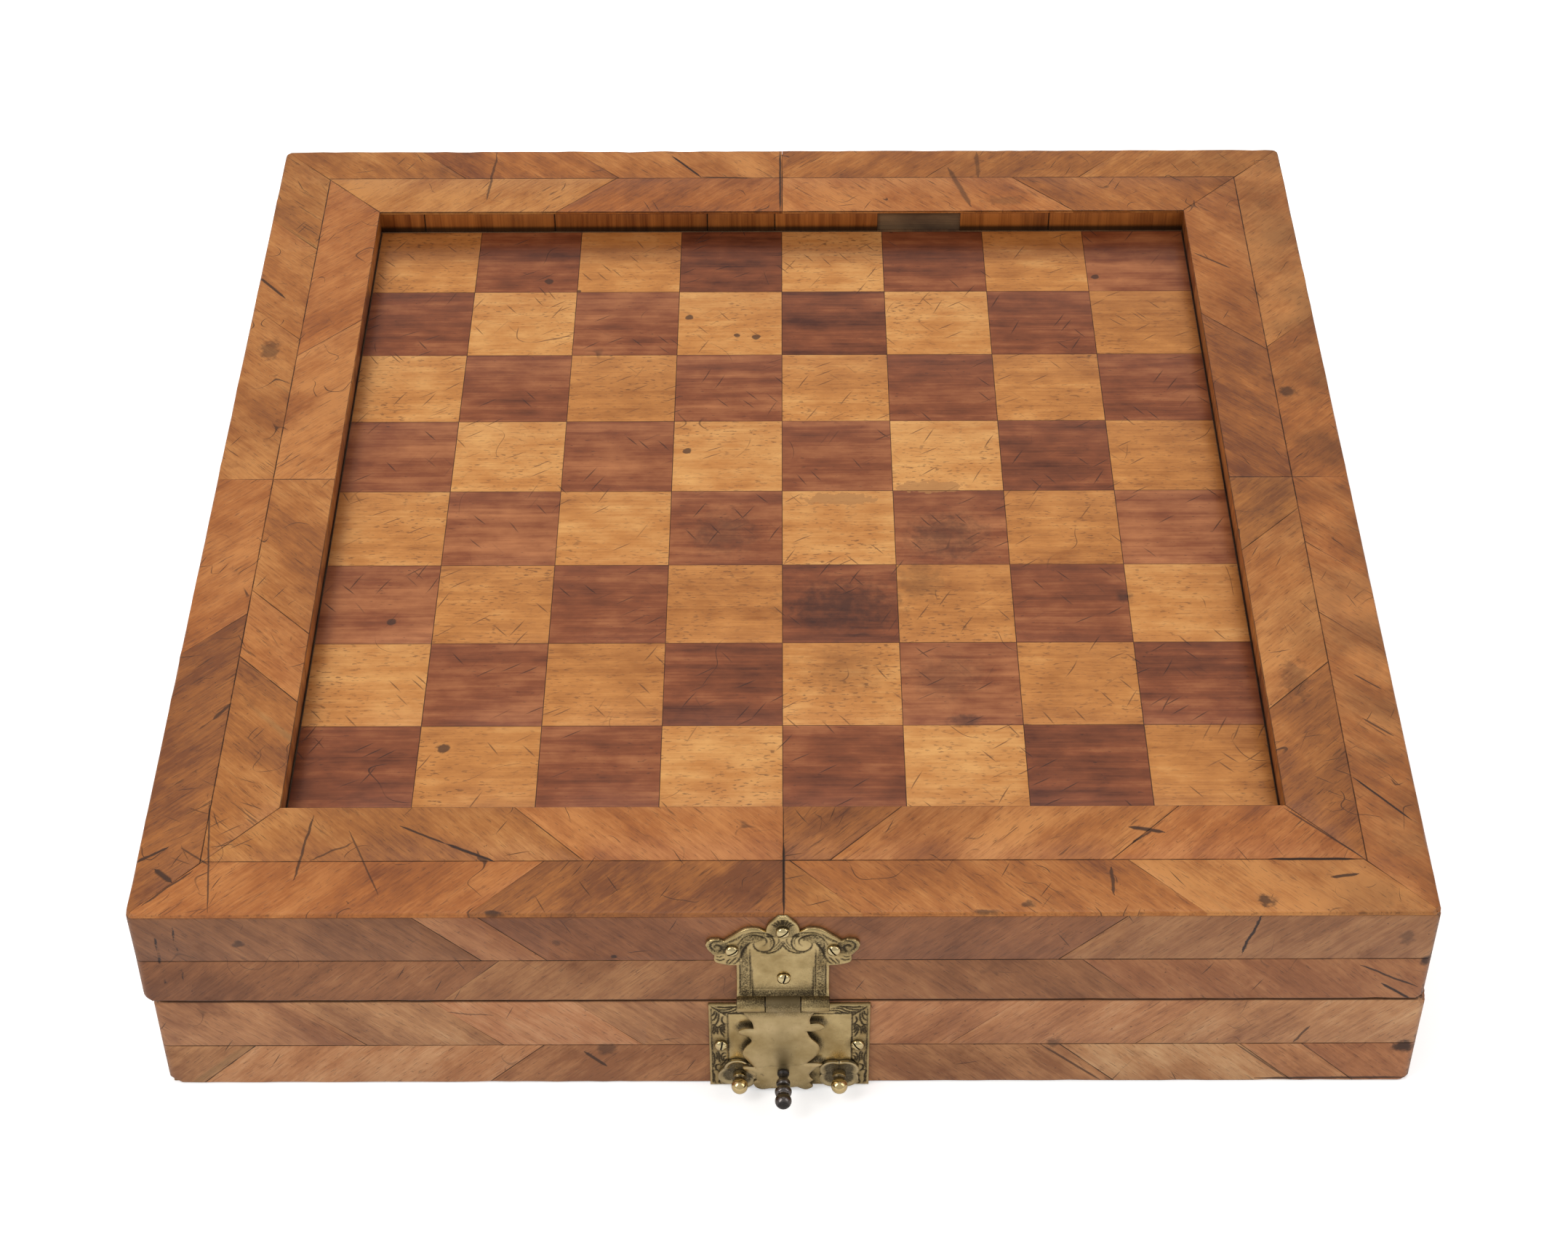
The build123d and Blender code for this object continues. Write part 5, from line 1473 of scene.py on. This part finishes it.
cuts = Engraving([
    (curve_through([(-8.8, 12.5), (-3.0, 13.2), (2.5, 13.4), (7.0, 14.3)]), 0.10, 0.30, True),
    ([(-3.8, 28.0), (-2.5, 25.5)], 0.10, 0.30, True),
    (curve_through([(-10.2, 10.6), (-8.8, 9.2), (-8.9, 7.6)]), 0.14, 0.34, True),
    ([(-7.4, 9.3), (-6.4, 8.2)], 0.16, 0.42, True)])


def flap_height(x, z, edge):
    depth, near = cuts.depth(x, z)
    worn_edge = 0.42 * nearness(edge, 1.0) ** 1.6
    wave = 0.10 * noise.noise(Vector((x * 0.16, z * 0.16, 2.0)))
    # Dirt in the engraving; painted shade towards the flap's foot and under the knuckle.
    dirt_and_shade = depth * 2.4 + 0.15 * near ** 2 + 0.45 * nearness(z, 9.0) + max((z - 36.5) / 3.5, 0) * 0.5
    # Painted shadow and a stain round the pull.
    dirt_and_shade += 0.6 * nearness(math.hypot(x * 1.3, (z - pull_z - 0.8) * 0.9), 3.4)
    return flap_out - 0.10 - depth - worn_edge + wave, min(dirt_and_shade, 1.0)


mesh = new_mesh()
relief(mesh, flap_outline, flap_height, on_front(hasp_x), back=flap_back, spacing=0.55)
knuckle(mesh, -flap_knuckle, flap_knuckle)
metal_piece("flap_relief", mesh, "hasp_flap", "hasp", "plate_brass", "flap")

# %% The pull and the knobs
ball_r = 2.7
stud = [(0.0, -5.0), (2.75, -5.0), (3.0, -4.75), (3.0, -3.5), (2.9, -3.4), (1.5, -3.4),
        (1.5, flap_out)]
swellings = curve_through([
    (1.93, 0.0), (1.95, 0.75), (1.62, 1.25), (1.48, 2.1), (1.55, 2.9), (2.05, 3.5), (2.3, 4.3),
    (2.15, 5.1), (1.88, 5.75), (2.2, 6.4), (2.68, 7.3), (2.74, 8.0), (2.5, 8.8), (2.05, 9.3)], 4)
shaft = [(radius, flap_out + out) for radius, out in swellings + arc(11.5, ball_r, -41, 90)]
mesh = new_mesh()
turned(mesh, stud + shaft, on_front(hasp_x, pull_z),
       depth=lambda radius, out: 0.7 if radius < 2.0 else 0.15)
metal_piece("pull_turned", mesh, "pull_knob", "hasp", "iron", "iron", sharp=50)

for side, node in ((-1, "left_knob"), (1, "right_knob")):
    inner_end = front_face - box(node)[1].y
    neck = [(0.0, inner_end), (1.5, inner_end), (1.5, 2.05), (2.1, 2.05), (2.2, 2.15), (2.2, 4.05),
            (2.12, 4.28), (1.86, 4.5), (1.78, 4.9), (1.80, 5.19)]
    mesh = new_mesh()
    turned(mesh, neck + arc(7.2, ball_r, -42, 90, 14)[1:], on_front(lock_x + side * knob_x, knob_z),
           depth=lambda radius, out: 0.8 if 4.2 < out < 5.3 else 0.55 if out < 2.6 else 0.0)
    metal_piece(f"{node}_turned", mesh, node, node, "knob_brass", "knob", sharp=50)
print("pull and knobs are turned")

# %% [markdown]
# ## Rosettes and screws
#
# Each knob stands in a dished rosette of four petals, grey in the dish and bright on the
# rim. The screws have domed heads with filed slots, turned as they stand.

# %% Rosettes
petal_r, petal_out, rosette_foot = 4.2, 2.1 * math.sqrt(2), 1.65


def off_axis(angle, axis):
    """How far an angle lies from the nearest of four axes at right angles, in radians."""
    return (angle - math.radians(axis) + math.pi / 4) % (math.pi / 2) - math.pi / 4


def rosette_outline(turn):
    points = []
    for step in range(96):
        angle = math.radians(step * 3.75)
        off = off_axis(angle, 45 + turn)
        reach = petal_out * math.cos(off) + math.sqrt(petal_r ** 2 - (petal_out * math.sin(off)) ** 2)
        points.append((reach * math.cos(angle), reach * math.sin(angle)))
    return points


def rosette_height(turn):
    """A raised rim, a dish full of dirt, and a crease between each pair of petals."""
    def height(x, z, edge):
        away = math.hypot(x, z)
        aside = abs(off_axis(math.atan2(z, x), turn)) * away
        crease = nearness(aside, 0.55) * unit((away - 2.2) / 1.5)
        rim_rise = 0.72 * math.exp(-((edge - 0.50) / 0.85) ** 2)
        dirt = unit((edge - 1.05) / 0.8) * 0.66 + crease * 0.45
        return rosette_foot + 0.36 + rim_rise - 0.16 * crease, dirt
    return height


for side, hand, turn in ((-1, "left", -29.0), (1, "right", 0.0)):
    mesh = new_mesh()
    relief(mesh, rosette_outline(turn), rosette_height(turn),
           on_front(lock_x + side * knob_x, knob_z), back=rosette_foot, spacing=0.36)
    metal_piece(f"{hand}_rosette_relief", mesh, f"{hand}_rosette", f"{hand}_knob", "knob_brass",
                "rosette")


# %% Screws
head_r, head_side, head_high = 2.15, 0.30, 1.65
head_slot, slot_floor, slot_lip = 0.25, 0.6, 0.03


def screw(x, z, turn):
    """A domed head with a filed slot."""
    mesh = new_mesh()
    layer = mesh.verts.layers.float["depth"]
    dome = [(head_r * math.cos(math.radians(angle)),
             head_side + (head_high - head_side) * math.sin(math.radians(angle)))
            for angle in range(0, 90, 10)]
    profile = [(0.0, -1.5), (1.2, -1.5), (1.2, 0.0), (head_r - 0.06, 0.0), (head_r, 0.08), *dome,
               (0.0, head_high)]
    turned(mesh, profile, lambda a, b, out: Vector((a, out, b)), 32,
           lambda radius, out: 0.5 if out < 0.3 else 0.0)
    sliced(mesh, 0, (-head_slot - slot_lip, -head_slot, head_slot, head_slot + slot_lip), 1e-4)
    for vert in mesh.verts:
        if abs(vert.co.x) < head_slot + 0.001 and vert.co.y > slot_floor:
            vert.co.y, vert[layer] = slot_floor, 1.0
    cosine, sine = math.cos(math.radians(turn)), math.sin(math.radians(turn))
    for vert in mesh.verts:
        a, out, b = vert.co
        vert.co = Vector((x + b * cosine - a * sine, front_face - plate_front - out,
                          z + b * sine + a * cosine))
    return mesh


def screws(node, body, places):
    """Several screws as one piece. Each place is x, z and the turn of the slot."""
    whole = new_mesh()
    for place in places:
        one = screw(*place)
        data = bpy.data.meshes.new("one_screw")
        one.to_mesh(data)
        one.free()
        whole.from_mesh(data)
        bpy.data.meshes.remove(data)
    metal_piece(f"{node}_domed", whole, node, body, "screw_brass", "screw", sharp=38)


screws("hasp_plate_screws", "lid", [(hasp_x, 75.9, 35), (hasp_x - 15.85, 67.3, 32),
                                    (hasp_x + 15.85, 67.5, -52), (hasp_x + 0.25, 54.1, 74)])
screws("lock_plate_screws", "base", [(lock_x + side * lock_screw[0], lock_screw[1], turn)
                                     for side, turn in ((-1, 80), (1, -50))])
print("rosettes and screws are in")

# %% [markdown]
# ## Hinges and lock works
#
# These keep their made shape. Their sharp edges are eased, and they get the same metals.


# %% Hinges, pins and levers
def as_made(node, body, slot, finish, bevel):
    mesh = welded(node)
    mesh.verts.layers.float.new("depth")
    piece(f"{node}_eased", mesh, body, slot, metals[finish], node, bevel, 35)


for hand in ("left", "right"):
    as_made(f"{hand}_hinge_base_leaf", "base", "hinge_brass", "hinge", 0.12)
    as_made(f"{hand}_hinge_lid_leaf", "lid", "hinge_brass", "hinge", 0.12)
    as_made(f"{hand}_hinge_pin", "base", "hinge_brass", "hinge", 0.08)
    as_made(f"{hand}_lever", f"{hand}_knob", "iron", "iron", 0.10)
for body in ("base", "lid"):
    as_made(f"{body}_hinge_screws", body, "screw_brass", "screw", 0.05)
as_made("hasp_pin", "lid", "iron", "iron", 0.08)
print("hinges and levers are dressed")

# %% [markdown]
# ## Sizes
#
# The CAD model's box and the box of everything shown are both printed. The visual model
# must stay in the CAD model's box.

# %% Sizes and the end
shown_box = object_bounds()
[[list(corner) for corner in corners] for corners in (cad_box, shown_box)]
print("CAD box", cad_box, "shown box", shown_box)
